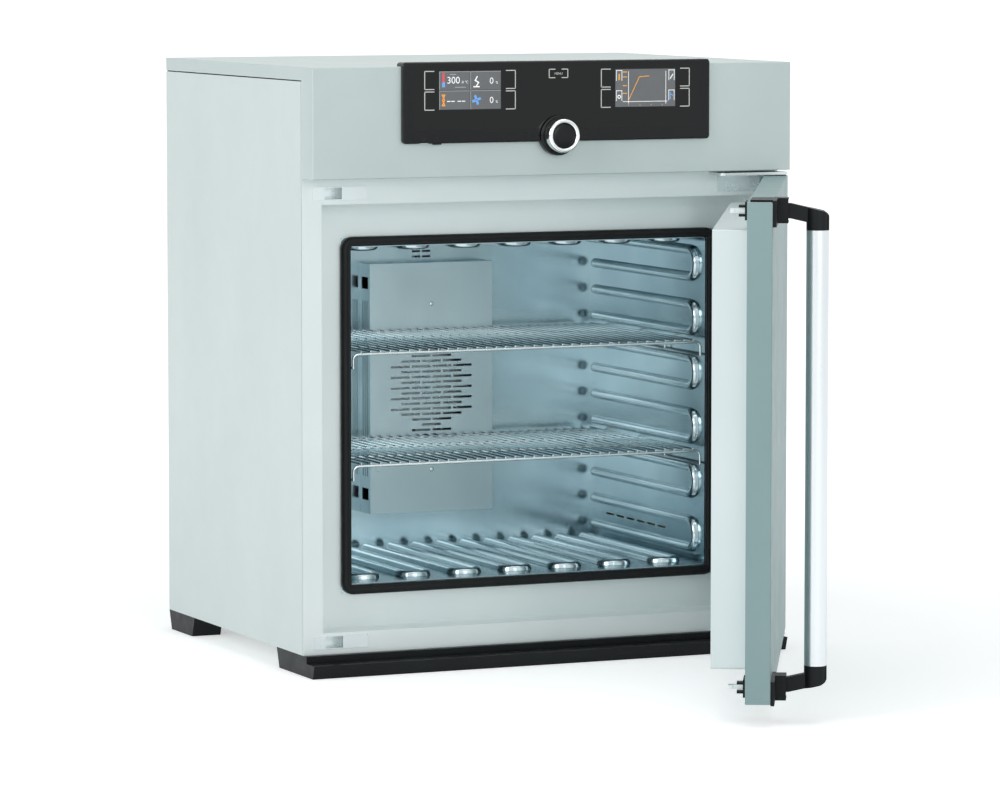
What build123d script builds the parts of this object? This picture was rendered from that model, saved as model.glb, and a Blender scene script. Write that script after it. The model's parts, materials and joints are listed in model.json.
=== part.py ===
from build123d import *
import math
import os

# A laboratory oven with forced air circulation, standing with its door open.
# Lengths are in millimetres and angles in degrees. The origin is on the surface that the oven
# stands on, under the middle of the cabinet. +X is to the right seen from the front, +Y is to the
# rear and +Z is up. The door's pieces are drawn closed and then swung open about the hinge.

# Chamber, and the thickness of the cabinet round it
CHAMBER_WIDTH = 560.0
CHAMBER_HEIGHT = 480.0
CHAMBER_DEPTH = 400.0
CHAMBER_WALL = 1.4
CHAMBER_FLANGE = 12.0
SIDE_THICKNESS = 92.5
FLOOR_THICKNESS = 92.0
CEILING_THICKNESS = 101.0
REAR_THICKNESS = 94.4

# Casing
BASE_HEIGHT = 29.0
FASCIA_HEIGHT = 156.0
SHEET = 1.2
SHEET_FLANGE = 15.0
PANEL_SEAM = 1.6
LID_SKIRT = 18.7
FIT = 0.3

# Feet and plinth
PLINTH_STEP_HEIGHT = 19.0
PLINTH_STEP_DEPTH = 30.0
PLINTH_DEPTH = 62.0
PLINTH_LEAN = 6.0
FOOT_WIDTH = 45.0
FRONT_FOOT_LENGTH = 144.0
REAR_FOOT_LENGTH = 107.0
FOOT_TAPER = 10.0

# Front frame and the recess that the door's plug enters
FRAME_SETBACK = 41.0
FRAME_SHEET = 1.5
RECESS_DEPTH = 50.0
RECESS_MARGIN_SIDE = 63.0
RECESS_MARGIN_BOTTOM = 61.7
RECESS_MARGIN_TOP = 63.7
GASKET_WIDTH = 13.6
GASKET_THICKNESS = 9.0
GASKET_CORNER_RADIUS = 17.0

# Hairpin ribs along the chamber walls, and the heating hairpins behind them
RIB_WIDTH = 13.0
RIB_FLANK = 2.9
RIB_FACETS = 3
RIB_LEG_SPACING = 40.0
RIB_PITCH = 80.0
RIB_MARGIN = 40.0
SIDE_RIB_SETBACK = 19.0
LEVEL_RIB_SETBACK = 34.0
RIB_REAR_GAP = 18.0
HEATER_THICKNESS = 5.0
HEATER_BEND = 10.0

# Air slots in the right wall and in the rear wall
AIR_SLOT_COUNT = 6
AIR_SLOT_LENGTH = 26.0
AIR_SLOT_HEIGHT = 3.0
AIR_SLOT_PITCH = 36.0
AIR_SLOT_SETBACK = 130.0
VENT_SLOT_LENGTH = 13.5
VENT_SLOT_HEIGHT = 3.0
VENT_SLOT_PITCH_X = 16.5
VENT_SLOT_PITCH_Z = 8.0

# Fan and its cover
FAN_ABOVE_FLOOR = 241.0
COVER_WIDTH = 200.0
COVER_BELOW_CEILING = 51.0
COVER_ABOVE_FLOOR = 53.0
COVER_DEPTH = 39.0
COVER_EDGE = 7.0
GRILLE_RADIUS = 74.0
GRILLE_SLOT_LENGTH = 30.5
GRILLE_SLOT_HEIGHT = 3.5
GRILLE_PITCH_X = 34.0
GRILLE_PITCH_Z = 8.0
COVER_WINDOW_HEIGHT = 18.0
COVER_WINDOW_INSET = 20.0
COVER_SLIT_WIDTH = 2.5
COVER_SLIT_PITCH = 8.0
COVER_SLIT_COUNT = 3
IMPELLER_RADIUS = 74.0
IMPELLER_DEPTH = 18.0
IMPELLER_BLADES = 10
IMPELLER_PLATE = 1.5
BLADE_INSET = 1.0
HUB_RADIUS = 13.0
SHAFT_RADIUS = 4.0
SHAFT_IN_MOTOR = 22.0
SHAFT_PASSAGE = 4.0
RUNNING_GAP = 0.05
MOTOR_RADIUS = 42.0
MOTOR_LENGTH = 44.0
MOTOR_EDGE = 5.0

# Rear compartment, temperature sensor and exhaust
COMPARTMENT_DEPTH = 50.8
SENSOR_RADIUS = 2.0
SENSOR_OFFSET = 62.0
SENSOR_BELOW_COVER_TOP = 50.0
VENT_BELOW_CEILING = 40.0
VENT_RADIUS = 20.0
VENT_WALL = 1.5
VENT_STANDOUT = 12.0
FLAP_THICKNESS = 1.5
FLAP_INSET = 26.0
SPINDLE_RADIUS = 2.0
FLAP_MOTOR_SIZE = 26.0
FLAP_MOTOR_EDGE = 3.0

# Rear sockets and louvres
INLET_OFFSET = 260.0
INLET_ABOVE_BASE = 61.0
INLET_WIDTH = 27.0
INLET_HEIGHT = 20.0
INLET_DEPTH = 22.0
INLET_WALL = 2.0
INLET_FLANGE_WIDTH = 50.0
INLET_FLANGE_HEIGHT = 28.0
INLET_FLANGE_CORNER = 4.0
INLET_PIN_PITCH = 7.0
INLET_PIN_WIDTH = 2.0
INLET_PIN_HEIGHT = 5.0
NETWORK_OFFSET = 300.0
NETWORK_BELOW_TOP = 48.5
NETWORK_WIDTH = 16.0
NETWORK_HEIGHT = 14.0
NETWORK_DEPTH = 16.0
NETWORK_WALL = 2.0
NETWORK_NOTCH = 4.0
LOUVRE_COUNT = 6
LOUVRE_LENGTH = 90.0
LOUVRE_HEIGHT = 4.0
LOUVRE_PITCH = 12.0
LOUVRE_OFFSET = 150.0
LOUVRE_ABOVE_DECK = 30.0

# Control compartment
DECK_BELOW_FASCIA = 0.5
CABLE_HOLE_WIDTH = 120.0
CABLE_HOLE_HEIGHT = 25.0
CABLE_HOLE_ABOVE_DECK = 14.0
BOARD_THICKNESS = 1.6
POWER_BOARD_WIDTH = 160.0
POWER_BOARD_DEPTH = 120.0
POWER_BOARD_STANDOFF = 8.0
POWER_BOARD_REAR_GAP = 60.0
TRANSFORMER_SIZE = 46.0
CAPACITOR_RADIUS = 9.0
CAPACITOR_HEIGHT = 25.0
HEAT_SINK_FINS = 4
HEAT_SINK_PITCH = 7.0
HEAT_SINK_LENGTH = 60.0
HEAT_SINK_HEIGHT = 30.0
CONTROL_BOARD_WIDTH = 300.0
CONTROL_BOARD_MARGIN = 12.0

# Control module in the fascia
COCKPIT_WIDTH = 478.0
COCKPIT_ABOVE_FASCIA_BOTTOM = 48.0
COCKPIT_RISE = 6.0
COCKPIT_PROUD = 7.0
COCKPIT_CORNER = 5.0
COCKPIT_EDGE = 1.5
COCKPIT_LIP_DEPTH = 15.0
COCKPIT_MARGIN = 7.0
COCKPIT_DEPTH = 36.0
COCKPIT_WALL = 3.0
GLASS_SIDE_MARGIN = 17.5
GLASS_ABOVE_BOTTOM = 19.0
GLASS_BELOW_TOP = 7.0
GLASS_THICKNESS = 2.0
DISPLAY_WIDTH = 95.1
DISPLAY_HEIGHT = 54.1
DISPLAY_TO_GLASS_EDGE = 37.45
DISPLAY_BELOW_GLASS_TOP = 33.0
DISPLAY_THICKNESS = 3.0
DISPLAY_GAP = 0.2

# Turn and press control
KNOB_ABOVE_COCKPIT_BOTTOM = 8.5
COLLAR_RADIUS = 28.5
COLLAR_PROUD = 4.0
RING_RADIUS = 24.5
RING_LENGTH = 18.7
RING_EDGE = 1.0
RING_WALL = 7.0
NECK_RADIUS = 21.0
NECK_WALL = 2.0
NECK_LENGTH = 9.0
COLLAR_BORE_GAP = 1.1
BUTTON_SET_IN = 2.0
BUTTON_THICKNESS = 5.0
BUTTON_EDGE = 0.8
BUTTON_TRAVEL = 1.5
STEM_RADIUS = 4.0
STEM_LENGTH = 30.0
ENCODER_RADIUS = 12.0
ENCODER_LENGTH = 26.0
CUP_RADIUS = 25.0
CUP_WALL = 2.0
CUP_DEPTH = 24.0

# Switch and data port on the underside of the control module
KEY_OFFSET = 186.0
KEY_WIDTH = 12.0
KEY_THICKNESS = 4.2
KEY_HEIGHT = 10.0
KEY_PROUD = 1.8
KEY_TRAVEL = 1.2
DATA_PORT_OFFSET = 207.0
DATA_PORT_WIDTH = 13.0
DATA_PORT_THICKNESS = 5.0
DATA_PORT_HEIGHT = 13.0
DATA_PORT_WALL = 0.7

# Door
DOOR_ABOVE_BASE = 1.0
DOOR_BELOW_FASCIA = 8.5
DOOR_FRAME_GAP = 7.5
DOOR_EDGE = 1.6
PLUG_SIDE_GAP = 5.5
PLUG_BOTTOM_GAP = 12.7
PLUG_TOP_GAP = 8.7
PLUG_GASKET_GAP = 0.1
PLUG_CORNER = 3.0
DOOR_OPEN = 61.3
INSULATION_GAP = 6.0

# Hinges
HINGE_INSET = 10.2
HINGE_SETBACK = 10.4
PIN_RADIUS = 4.0
PIN_LENGTH = 21.5
BUSH_RADIUS = 6.0
BUSH_LENGTH = 24.0
BUSH_FLANGE_RADIUS = 8.0
BUSH_FLANGE_TOP = 1.2
BUSH_FLANGE_BOTTOM = 3.7
BRACKET_THICKNESS = 4.0
BRACKET_WIDTH = 110.5
BRACKET_FRONT_SETBACK = 2.0
BRACKET_CORNER = 7.0
BRACKET_FLANGE_THICKNESS = 3.0
BRACKET_FLANGE_HEIGHT = 24.0
BRACKET_FLANGE_INSET = 15.9
BRACKET_FLANGE_WIDTH = 82.2

# Latches, seen with the door closed and the handle unlocked
LEVER_INSET = 56.0
LEVER_SETBACK = 30.0
LATCH_BELOW_DOOR_TOP = 13.0
LATCH_ABOVE_DOOR_BOTTOM = 16.0
LOCK_ANGLE = 36.0
LEVER_PIN_RADIUS = 2.5
LEVER_PIN_HALF_LENGTH = 9.5
HOOK_THICKNESS = 6.0
HOOK_WIDTH = 6.0
HOOK_EYE_RADIUS = 7.0
HOOK_REACH = 27.5
HOOK_NOSE = 5.0
HOOK_NOSE_LENGTH = 5.5
HOOK_TAIL_WIDTH = 8.0
HOOK_TAIL_LENGTH = 54.0
SLOT_GAP = 0.6

# Latch housings, forked towards the frame
HOUSING_LEFT = 17.5
HOUSING_RIGHT = 21.5
HOUSING_HALF_HEIGHT = 10.5
HOUSING_DEPTH = 17.5
HOUSING_FLANGE = 3.0
HOUSING_FLANGE_THICKNESS = 4.0
HOUSING_SIDE_WALL = 3.5
FORK_LENGTH = 8.5
FORK_THICKNESS = 3.2
FORK_GAP = 0.8
FORK_LEFT = 12.5
FORK_RIGHT = 2.5

# Corner guards round the ends of the handle
GUARD_THICKNESS = 5.0
GUARD_LEFT = 50.5
GUARD_RIGHT = 48.5
GUARD_HEIGHT = 32.5
GUARD_EDGE_PLATE = 2.8
GUARD_EDGE_DEPTH = 30.0
GUARD_OPENING_LEFT = 6.5
GUARD_OPENING_RIGHT = 33.5
GUARD_ROOM_STEPS = 6
SHROUD_DEPTH = 14.5
SHROUD_LEFT = 14.5
SHROUD_RIGHT = 16.5
SHROUD_WALL = 2.5
SHROUD_BELOW = 16.0
SHROUD_ABOVE = 17.3

# Handle
HANDLE_REACH = 58.0
HANDLE_RADIUS = 15.0
HANDLE_WALL = 2.0
LEVER_WIDTH = 14.0
LEVER_HALF_HEIGHT = 10.0
LEVER_DROP = 10.0
LEVER_SLOPE_START = 3.0
LEVER_END_DROP = 7.0
LEVER_END_ROUND = 3.5
SOCKET_DROP = 25.5
SPIGOT_LENGTH = 8.0
SPIGOT_WALL = 2.0
LOWER_LEVER_OFFSET = 4.5

# Strike plates on the frame
STRIKE_LEFT = 40.1
STRIKE_RIGHT = 42.1
STRIKE_HALF_HEIGHT = 9.5
STRIKE_THICKNESS = 1.0
STRIKE_BOX_DEPTH = 22.0
STRIKE_BOX_WALL = 2.0
POCKET_LEFT = 22.2
POCKET_RIGHT = 3.9
POCKET_HALF_HEIGHT = 8.2
POCKET_UNDERCUT = 6.3
TONGUE_LEFT = 14.0
TONGUE_HALF_HEIGHT = 3.5
TONGUE_THICKNESS = 1.5

# Wire shelves, each on the upper leg of a side rib that is counted from the lowest as 0
UPPER_SHELF_RIB = 3
LOWER_SHELF_RIB = 1
SHELF_SIDE_GAP = 4.0
SHELF_FRONT_GAP = 1.4
SHELF_REAR_GAP = 1.6
SHELF_RISE = 22.7
RAIL_SETTLE = 1.05
FRAME_WIRE_RADIUS = 2.0
GRID_WIRE_RADIUS = 1.3
GRID_WIRE_PITCH = 15.0
GRID_MARGIN = 13.5
CROSS_WIRE_COUNT = 4
WIRE_BEND = 8.0
WIRE_SIDES = 6

# Places worked out from the sizes above
chamber_side = CHAMBER_WIDTH / 2
chamber_floor = BASE_HEIGHT + FLOOR_THICKNESS
chamber_top = chamber_floor + CHAMBER_HEIGHT
chamber_setback = FRAME_SETBACK + RECESS_DEPTH - CHAMBER_WALL
side = chamber_side + SIDE_THICKNESS
front = -(chamber_setback + CHAMBER_DEPTH + REAR_THICKNESS) / 2
rear = -front
chamber_front = front + chamber_setback
chamber_back = chamber_front + CHAMBER_DEPTH
liner_side = chamber_side + CHAMBER_WALL
liner_bottom = chamber_floor - CHAMBER_WALL
liner_top = chamber_top + CHAMBER_WALL
liner_back = chamber_back + CHAMBER_WALL
rib_half_width = RIB_WIDTH / 2
insulation_side = liner_side + HEATER_THICKNESS
insulation_floor = liner_bottom - HEATER_THICKNESS
insulation_ceiling = liner_top + HEATER_THICKNESS

fascia_bottom = chamber_top + CEILING_THICKNESS
cabinet_top = fascia_bottom + FASCIA_HEIGHT
sheet_side = side - SHEET
casing_floor = BASE_HEIGHT + SHEET
lid_underside = cabinet_top - SHEET
lid_seam = cabinet_top - LID_SKIRT
panel_top = lid_seam - PANEL_SEAM
deck_top = fascia_bottom - DECK_BELOW_FASCIA
deck_bottom = deck_top - SHEET
frame_front = front + FRAME_SETBACK
frame_back = frame_front + FRAME_SHEET
panel_front = frame_back + PANEL_SEAM
panel_back = rear - SHEET
compartment_front = rear - COMPARTMENT_DEPTH
inner_wall_back = compartment_front + SHEET

recess_side = chamber_side + RECESS_MARGIN_SIDE
recess_bottom = chamber_floor - RECESS_MARGIN_BOTTOM
recess_top = chamber_top + RECESS_MARGIN_TOP
recess_back = frame_front + RECESS_DEPTH
recess_rear_face = recess_back + SHEET

fan_z = chamber_floor + FAN_ABOVE_FLOOR
cover_front = chamber_back - COVER_DEPTH
cover_bottom = chamber_floor + COVER_ABOVE_FLOOR
cover_top = chamber_top - COVER_BELOW_CEILING
vent_z = chamber_top - VENT_BELOW_CEILING
flap_y = rear - FLAP_INSET
sensor_z = cover_top - SENSOR_BELOW_COVER_TOP
inlet_z = BASE_HEIGHT + INLET_ABOVE_BASE
network_z = panel_top - NETWORK_BELOW_TOP

cockpit_side = COCKPIT_WIDTH / 2
cockpit_bottom = fascia_bottom + COCKPIT_ABOVE_FASCIA_BOTTOM
cockpit_top = cabinet_top + COCKPIT_RISE
cockpit_front = front - COCKPIT_PROUD
cockpit_back = front + COCKPIT_DEPTH
insert_side = cockpit_side - COCKPIT_MARGIN
insert_bottom = cockpit_bottom + COCKPIT_MARGIN
insert_top = cabinet_top - COCKPIT_MARGIN
glass_side = cockpit_side - GLASS_SIDE_MARGIN
glass_bottom = cockpit_bottom + GLASS_ABOVE_BOTTOM
glass_top = cockpit_top - GLASS_BELOW_TOP
display_z = glass_top - DISPLAY_BELOW_GLASS_TOP
display_offset = glass_side - DISPLAY_TO_GLASS_EDGE - DISPLAY_WIDTH / 2
knob_z = cockpit_bottom + KNOB_ABOVE_COCKPIT_BOTTOM
collar_front = cockpit_front - COLLAR_PROUD
collar_bore = NECK_RADIUS + COLLAR_BORE_GAP
ring_back = collar_front - FIT
ring_front = ring_back - RING_LENGTH
button_front = ring_front + BUTTON_SET_IN
button_back = button_front + BUTTON_THICKNESS
encoder_back = front + CUP_DEPTH - CUP_WALL
underside_y = (cockpit_front + front) / 2

door_bottom = BASE_HEIGHT + DOOR_ABOVE_BASE
door_top = fascia_bottom - DOOR_BELOW_FASCIA
door_back = frame_front - DOOR_FRAME_GAP
plug_side = recess_side - PLUG_SIDE_GAP
plug_bottom = recess_bottom + PLUG_BOTTOM_GAP
plug_top = recess_top - PLUG_TOP_GAP
plug_back = chamber_front - GASKET_THICKNESS - PLUG_GASKET_GAP
hinge_x = side - HINGE_INSET
hinge_y = front + HINGE_SETBACK
upper_arm_bottom = door_top + BUSH_FLANGE_TOP + FIT
lower_arm_top = door_bottom - BUSH_FLANGE_BOTTOM - FIT
lower_arm_bottom = lower_arm_top - BRACKET_THICKNESS

lever_x = LEVER_INSET - side
lever_y = front + LEVER_SETBACK
upper_latch_z = door_top - LATCH_BELOW_DOOR_TOP
lower_latch_z = door_bottom + LATCH_ABOVE_DOOR_BOTTOM
latch_heights = (upper_latch_z, lower_latch_z)
lower_lever_z = lower_latch_z + LOWER_LEVER_OFFSET
slot_half_height = HOOK_THICKNESS / 2 + SLOT_GAP
guard_front = front - GUARD_THICKNESS
shroud_front = guard_front - SHROUD_DEPTH
handle_y = front - HANDLE_REACH

opened = Pos(hinge_x, hinge_y, 0) * Rot(0, 0, DOOR_OPEN) * Pos(-hinge_x, -hinge_y, 0)


def block(x_range, y_range, z_range):
    """A box between a low and a high value along each axis."""
    sizes = [high - low for low, high in (x_range, y_range, z_range)]
    middle = [(high + low) / 2 for low, high in (x_range, y_range, z_range)]
    return Pos(*middle) * Box(*sizes)


def centred(middle, size):
    """The low and high value of a span about its middle."""
    return (middle - size / 2, middle + size / 2)


def rod_x(radius, x_range, y, z):
    low, high = x_range
    return Pos((low + high) / 2, y, z) * Rot(0, 90, 0) * Cylinder(radius, high - low)


def rod_y(radius, x, y_range, z):
    low, high = y_range
    return Pos(x, (low + high) / 2, z) * Rot(90, 0, 0) * Cylinder(radius, high - low)


def rod_z(radius, x, y, z_range):
    low, high = z_range
    return Pos(x, y, (low + high) / 2) * Cylinder(radius, high - low)


def extruded_x(points, x_range):
    """An outline of (y, z) points extruded along X."""
    outline = Plane.YZ.offset(x_range[0]) * make_face(Polyline(*points, close=True))
    return extrude(outline, x_range[1] - x_range[0], dir=(1, 0, 0))


def extruded_z(points, z_range):
    """An outline of (x, y) points extruded along Z."""
    outline = Pos(0, 0, z_range[0]) * make_face(Polyline(*points, close=True))
    return extrude(outline, z_range[1] - z_range[0], dir=(0, 0, 1))


def bent_bar(path, thickness, z_range):
    """A bar of even thickness along (x, y) points, with its thickness to the left of the path."""
    inner = []
    for place in path:
        normals = []
        for start, end in zip(path, path[1:]):
            if place in (start, end):
                length = math.dist(start, end)
                normals.append(((start[1] - end[1]) / length, (end[0] - start[0]) / length))
        first, last = normals[0], normals[-1]
        scale = thickness / (1 + first[0] * last[0] + first[1] * last[1])
        inner.append((place[0] + (first[0] + last[0]) * scale, place[1] + (first[1] + last[1]) * scale))
    return extruded_z(path + inner[::-1], z_range)


def mirrored(shape):
    """The same piece on the other side of the cabinet."""
    return mirror(shape, about=Plane.YZ)


def save(name, *shapes):
    solids = [solid for shape in shapes for solid in shape.solids()]
    whole = solids[0] if len(solids) == 1 else Compound(solids)
    export_step(whole, f"parts/{name}.step")


# Casing
def front_plinth():
    step_back = front + PLINTH_STEP_DEPTH
    toe = [(front + PLINTH_LEAN, 0), (front, PLINTH_STEP_HEIGHT), (step_back, PLINTH_STEP_HEIGHT)]
    toe.append((step_back, BASE_HEIGHT))
    bar_back = front + PLINTH_DEPTH
    bar = extruded_x(toe + [(bar_back, BASE_HEIGHT), (bar_back, 0)], (-side, side))
    heel = front + FRONT_FOOT_LENGTH
    foot = extruded_x(toe + [(heel, BASE_HEIGHT), (heel - FOOT_TAPER, 0)], (side - FOOT_WIDTH, side))
    arm_room = block(
        (side - BRACKET_WIDTH - FIT, side), (step_back, frame_front), (lower_arm_bottom - FIT, BASE_HEIGHT)
    )
    return bar + foot + mirrored(foot) - arm_room


def rear_foot():
    toe = rear - REAR_FOOT_LENGTH
    points = [(toe, BASE_HEIGHT), (toe + FOOT_TAPER, 0), (rear - FOOT_TAPER, 0), (rear, BASE_HEIGHT)]
    return extruded_x(points, (side - FOOT_WIDTH, side))


def base_panel():
    return block((-sheet_side, sheet_side), (panel_front, panel_back), (BASE_HEIGHT, casing_floor))


def side_panel():
    web = block((sheet_side, side), (panel_front, rear), (BASE_HEIGHT, panel_top))
    flange_x = (side - SHEET_FLANGE, sheet_side)
    flange_z = (casing_floor, lid_underside)
    front_flange = block(flange_x, (panel_front, panel_front + SHEET), flange_z)
    return web + front_flange + block(flange_x, (panel_back - SHEET, panel_back), flange_z)


def lid():
    outer = block((-side, side), (frame_front, rear), (lid_seam, cabinet_top))
    return outer - block((-sheet_side, sheet_side), (frame_front, panel_back), (lid_seam, lid_underside))


def rear_panel():
    sheet = block((-sheet_side, sheet_side), (panel_back, rear), (BASE_HEIGHT, panel_top))
    first_z = deck_top + LOUVRE_ABOVE_DECK
    louvres = [
        block(
            centred(x, LOUVRE_LENGTH),
            (panel_back, rear),
            centred(first_z + LOUVRE_PITCH * row, LOUVRE_HEIGHT),
        )
        for x in (-LOUVRE_OFFSET, LOUVRE_OFFSET)
        for row in range(LOUVRE_COUNT)
    ]
    pipe_hole = rod_y(VENT_RADIUS + FIT, 0, (panel_back, rear), vent_z)
    return sheet - louvres - pipe_hole - inlet_body(FIT) - network_body(FIT)


def face_frame():
    y_range = (frame_front, frame_back)
    sheet = block((-side, side), y_range, (BASE_HEIGHT, panel_top))
    opening = block((-recess_side, recess_side), y_range, (recess_bottom, recess_top))
    cable_bottom = deck_top + CABLE_HOLE_ABOVE_DECK
    cable_z = (cable_bottom, cable_bottom + CABLE_HOLE_HEIGHT)
    cable_hole = block(centred(0, CABLE_HOLE_WIDTH), y_range, cable_z)
    return sheet - opening - cable_hole - [strike_box(z, FIT) for z in latch_heights]


def door_recess():
    outer_side = recess_side + SHEET
    outer_z = (recess_bottom - SHEET, recess_top + SHEET)
    tunnel = block((-outer_side, outer_side), (frame_back, recess_rear_face), outer_z)
    space = block((-recess_side, recess_side), (frame_back, recess_back), (recess_bottom, recess_top))
    mouth_z = (liner_bottom, liner_top)
    return tunnel - space - block((-liner_side, liner_side), (recess_back, recess_rear_face), mouth_z)


def gasket():
    y_range = (chamber_front - GASKET_THICKNESS, chamber_front)
    outer_side = liner_side + GASKET_WIDTH
    outer_z = (liner_bottom - GASKET_WIDTH, liner_top + GASKET_WIDTH)
    ring = block((-outer_side, outer_side), y_range, outer_z)
    ring = fillet(ring.edges().filter_by(Axis.Y), GASKET_CORNER_RADIUS)
    mouth = block((-liner_side, liner_side), y_range, (liner_bottom, liner_top))
    return ring - fillet(mouth.edges().filter_by(Axis.Y), GASKET_CORNER_RADIUS - GASKET_WIDTH)


def fascia():
    outer = block((-side, side), (front, frame_front), (fascia_bottom, cabinet_top))
    outer = fillet(outer.faces().sort_by(Axis.Y)[0].edges(), SHEET)
    inner = block(
        (-sheet_side, sheet_side), (front + SHEET, frame_front), (fascia_bottom + SHEET, lid_underside)
    )
    skin = (front, front + SHEET)
    window = block((-insert_side - FIT, insert_side + FIT), skin, (insert_bottom - FIT, insert_top + FIT))
    return outer - inner - window - rod_y(CUP_RADIUS + FIT, 0, skin, knob_z)


# Chamber
def chamber_shell():
    tube = block((-liner_side, liner_side), (chamber_front, chamber_back), (liner_bottom, liner_top))
    flange_side = liner_side + CHAMBER_FLANGE
    flange_z = (liner_bottom - CHAMBER_FLANGE, liner_top + CHAMBER_FLANGE)
    flange = block((-flange_side, flange_side), (chamber_front, recess_back), flange_z)
    space = block((-chamber_side, chamber_side), (chamber_front, chamber_back), (chamber_floor, chamber_top))
    slot_z = centred(side_rib_z(0), AIR_SLOT_HEIGHT)
    first_y = chamber_front + AIR_SLOT_SETBACK
    slots = [
        block((chamber_side, liner_side), (start, start + AIR_SLOT_LENGTH), slot_z)
        for start in [first_y + AIR_SLOT_PITCH * index for index in range(AIR_SLOT_COUNT)]
    ]
    return tube + flange - space - slots


def chamber_rear_wall():
    y_range = (chamber_back, liner_back)
    sheet = block((-liner_side, liner_side), y_range, (liner_bottom, liner_top))
    slots = [
        block(centred(x, VENT_SLOT_LENGTH), y_range, centred(vent_z + z, VENT_SLOT_HEIGHT))
        for x in (-VENT_SLOT_PITCH_X / 2, VENT_SLOT_PITCH_X / 2)
        for z in (-VENT_SLOT_PITCH_Z / 2, VENT_SLOT_PITCH_Z / 2)
    ]
    return sheet - slots - shaft_passage(y_range) - sensor_passage(y_range)


def shaft_passage(y_range):
    return rod_y(SHAFT_RADIUS + SHAFT_PASSAGE, 0, y_range, fan_z)


def sensor_passage(y_range):
    return rod_y(SENSOR_RADIUS + FIT, -SENSOR_OFFSET, y_range, sensor_z)


def rib_count(length):
    return int((length - 2 * RIB_MARGIN) / RIB_PITCH) + 1


def side_rib_z(index):
    """The height of the middle of a side rib, counted from the lowest."""
    return chamber_floor + RIB_MARGIN + RIB_PITCH * index


def side_ribs():
    return range(rib_count(CHAMBER_HEIGHT))


def level_rib_places():
    count = rib_count(CHAMBER_WIDTH)
    return [RIB_PITCH * (index - (count - 1) / 2) for index in range(count)]


def rib(nose_setback):
    """A raised bead up one leg, round the nose and back, with x to the rear and z off the wall."""
    middle = RIB_LEG_SPACING / 2
    points = [(middle - rib_half_width, 0)]
    for step in range(RIB_FACETS + 1):
        turn = math.pi * step / RIB_FACETS
        across = middle - rib_half_width * math.cos(turn)
        points.append((across, RIB_FLANK + rib_half_width * math.sin(turn)))
    points.append((middle + rib_half_width, 0))
    section = Plane.YZ * make_face(Polyline(*points, close=True))
    nose_x = nose_setback + middle + rib_half_width
    leg = extrude(section, CHAMBER_DEPTH - RIB_REAR_GAP - nose_x, dir=(1, 0, 0))
    return Pos(nose_x, 0, 0) * (leg + revolve(section, Axis.Z, 180) + mirror(leg, about=Plane.XZ))


def heater(nose_setback):
    """A flat heating hairpin that lies along the middle of a rib."""
    half = (RIB_LEG_SPACING + HEATER_THICKNESS) / 2
    nose = nose_setback + rib_half_width - HEATER_THICKNESS / 2
    end = CHAMBER_DEPTH - RIB_REAR_GAP
    bend = nose + HEATER_BEND
    inner = half - HEATER_BEND
    path = [(end, -half), (bend, -half), (nose, -inner), (nose, inner), (bend, half), (end, half)]
    return bent_bar(path[::-1], HEATER_THICKNESS, (0, HEATER_THICKNESS))


def on_side_wall(piece, x, facing, index):
    origin = (x, chamber_front, side_rib_z(index))
    return Plane(origin=origin, x_dir=(0, 1, 0), z_dir=(facing, 0, 0)) * piece


def on_level_wall(piece, x, z, facing):
    origin = (x, chamber_front, z)
    return Plane(origin=origin, x_dir=(0, 1, 0), z_dir=(0, 0, facing)) * piece


# Fan
def grille_places():
    """Rows of slots staggered by half a pitch, as far as they fit in a circle."""
    places = []
    rows = int(GRILLE_RADIUS / GRILLE_PITCH_Z)
    columns = int(GRILLE_RADIUS / GRILLE_PITCH_X) + 1
    for row in range(-rows, rows + 1):
        stagger = 0.5 if row % 2 == 0 else 0.0
        for column in range(-columns, columns + 1):
            x = (column + stagger) * GRILLE_PITCH_X
            z = row * GRILLE_PITCH_Z
            if math.hypot(abs(x) + GRILLE_SLOT_LENGTH / 2, z) <= GRILLE_RADIUS:
                places.append((x, fan_z + z))
    return places


def fan_cover():
    half = COVER_WIDTH / 2
    inner = half - SHEET
    outer = block((-half, half), (cover_front, chamber_back), (cover_bottom, cover_top))
    inner_y = (cover_front + SHEET, chamber_back)
    space = block((-inner, inner), inner_y, (cover_bottom + SHEET, cover_top - SHEET))
    face = (cover_front, cover_front + SHEET)
    slots = [
        block(centred(x, GRILLE_SLOT_LENGTH), face, centred(z, GRILLE_SLOT_HEIGHT))
        for x, z in grille_places()
    ]
    low = cover_bottom + COVER_WINDOW_INSET
    high = cover_top - COVER_WINDOW_INSET
    window_y = (cover_front + COVER_EDGE, chamber_back - COVER_EDGE)
    slit_z = (low + 2 * COVER_WINDOW_HEIGHT, high - 2 * COVER_WINDOW_HEIGHT)
    first_slit = chamber_back - COVER_DEPTH / 2 - COVER_SLIT_PITCH * (COVER_SLIT_COUNT - 1) / 2
    slit_places = [first_slit + COVER_SLIT_PITCH * index for index in range(COVER_SLIT_COUNT)]
    openings = []
    for wall in ((-half, -inner), (inner, half)):
        openings.append(block(wall, window_y, (low, low + COVER_WINDOW_HEIGHT)))
        openings.append(block(wall, window_y, (high - COVER_WINDOW_HEIGHT, high)))
        openings += [block(wall, centred(y, COVER_SLIT_WIDTH), slit_z) for y in slit_places]
    return outer - space - slots - openings


impeller_y = centred(chamber_back - (COVER_DEPTH - SHEET) / 2, IMPELLER_DEPTH)


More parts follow.
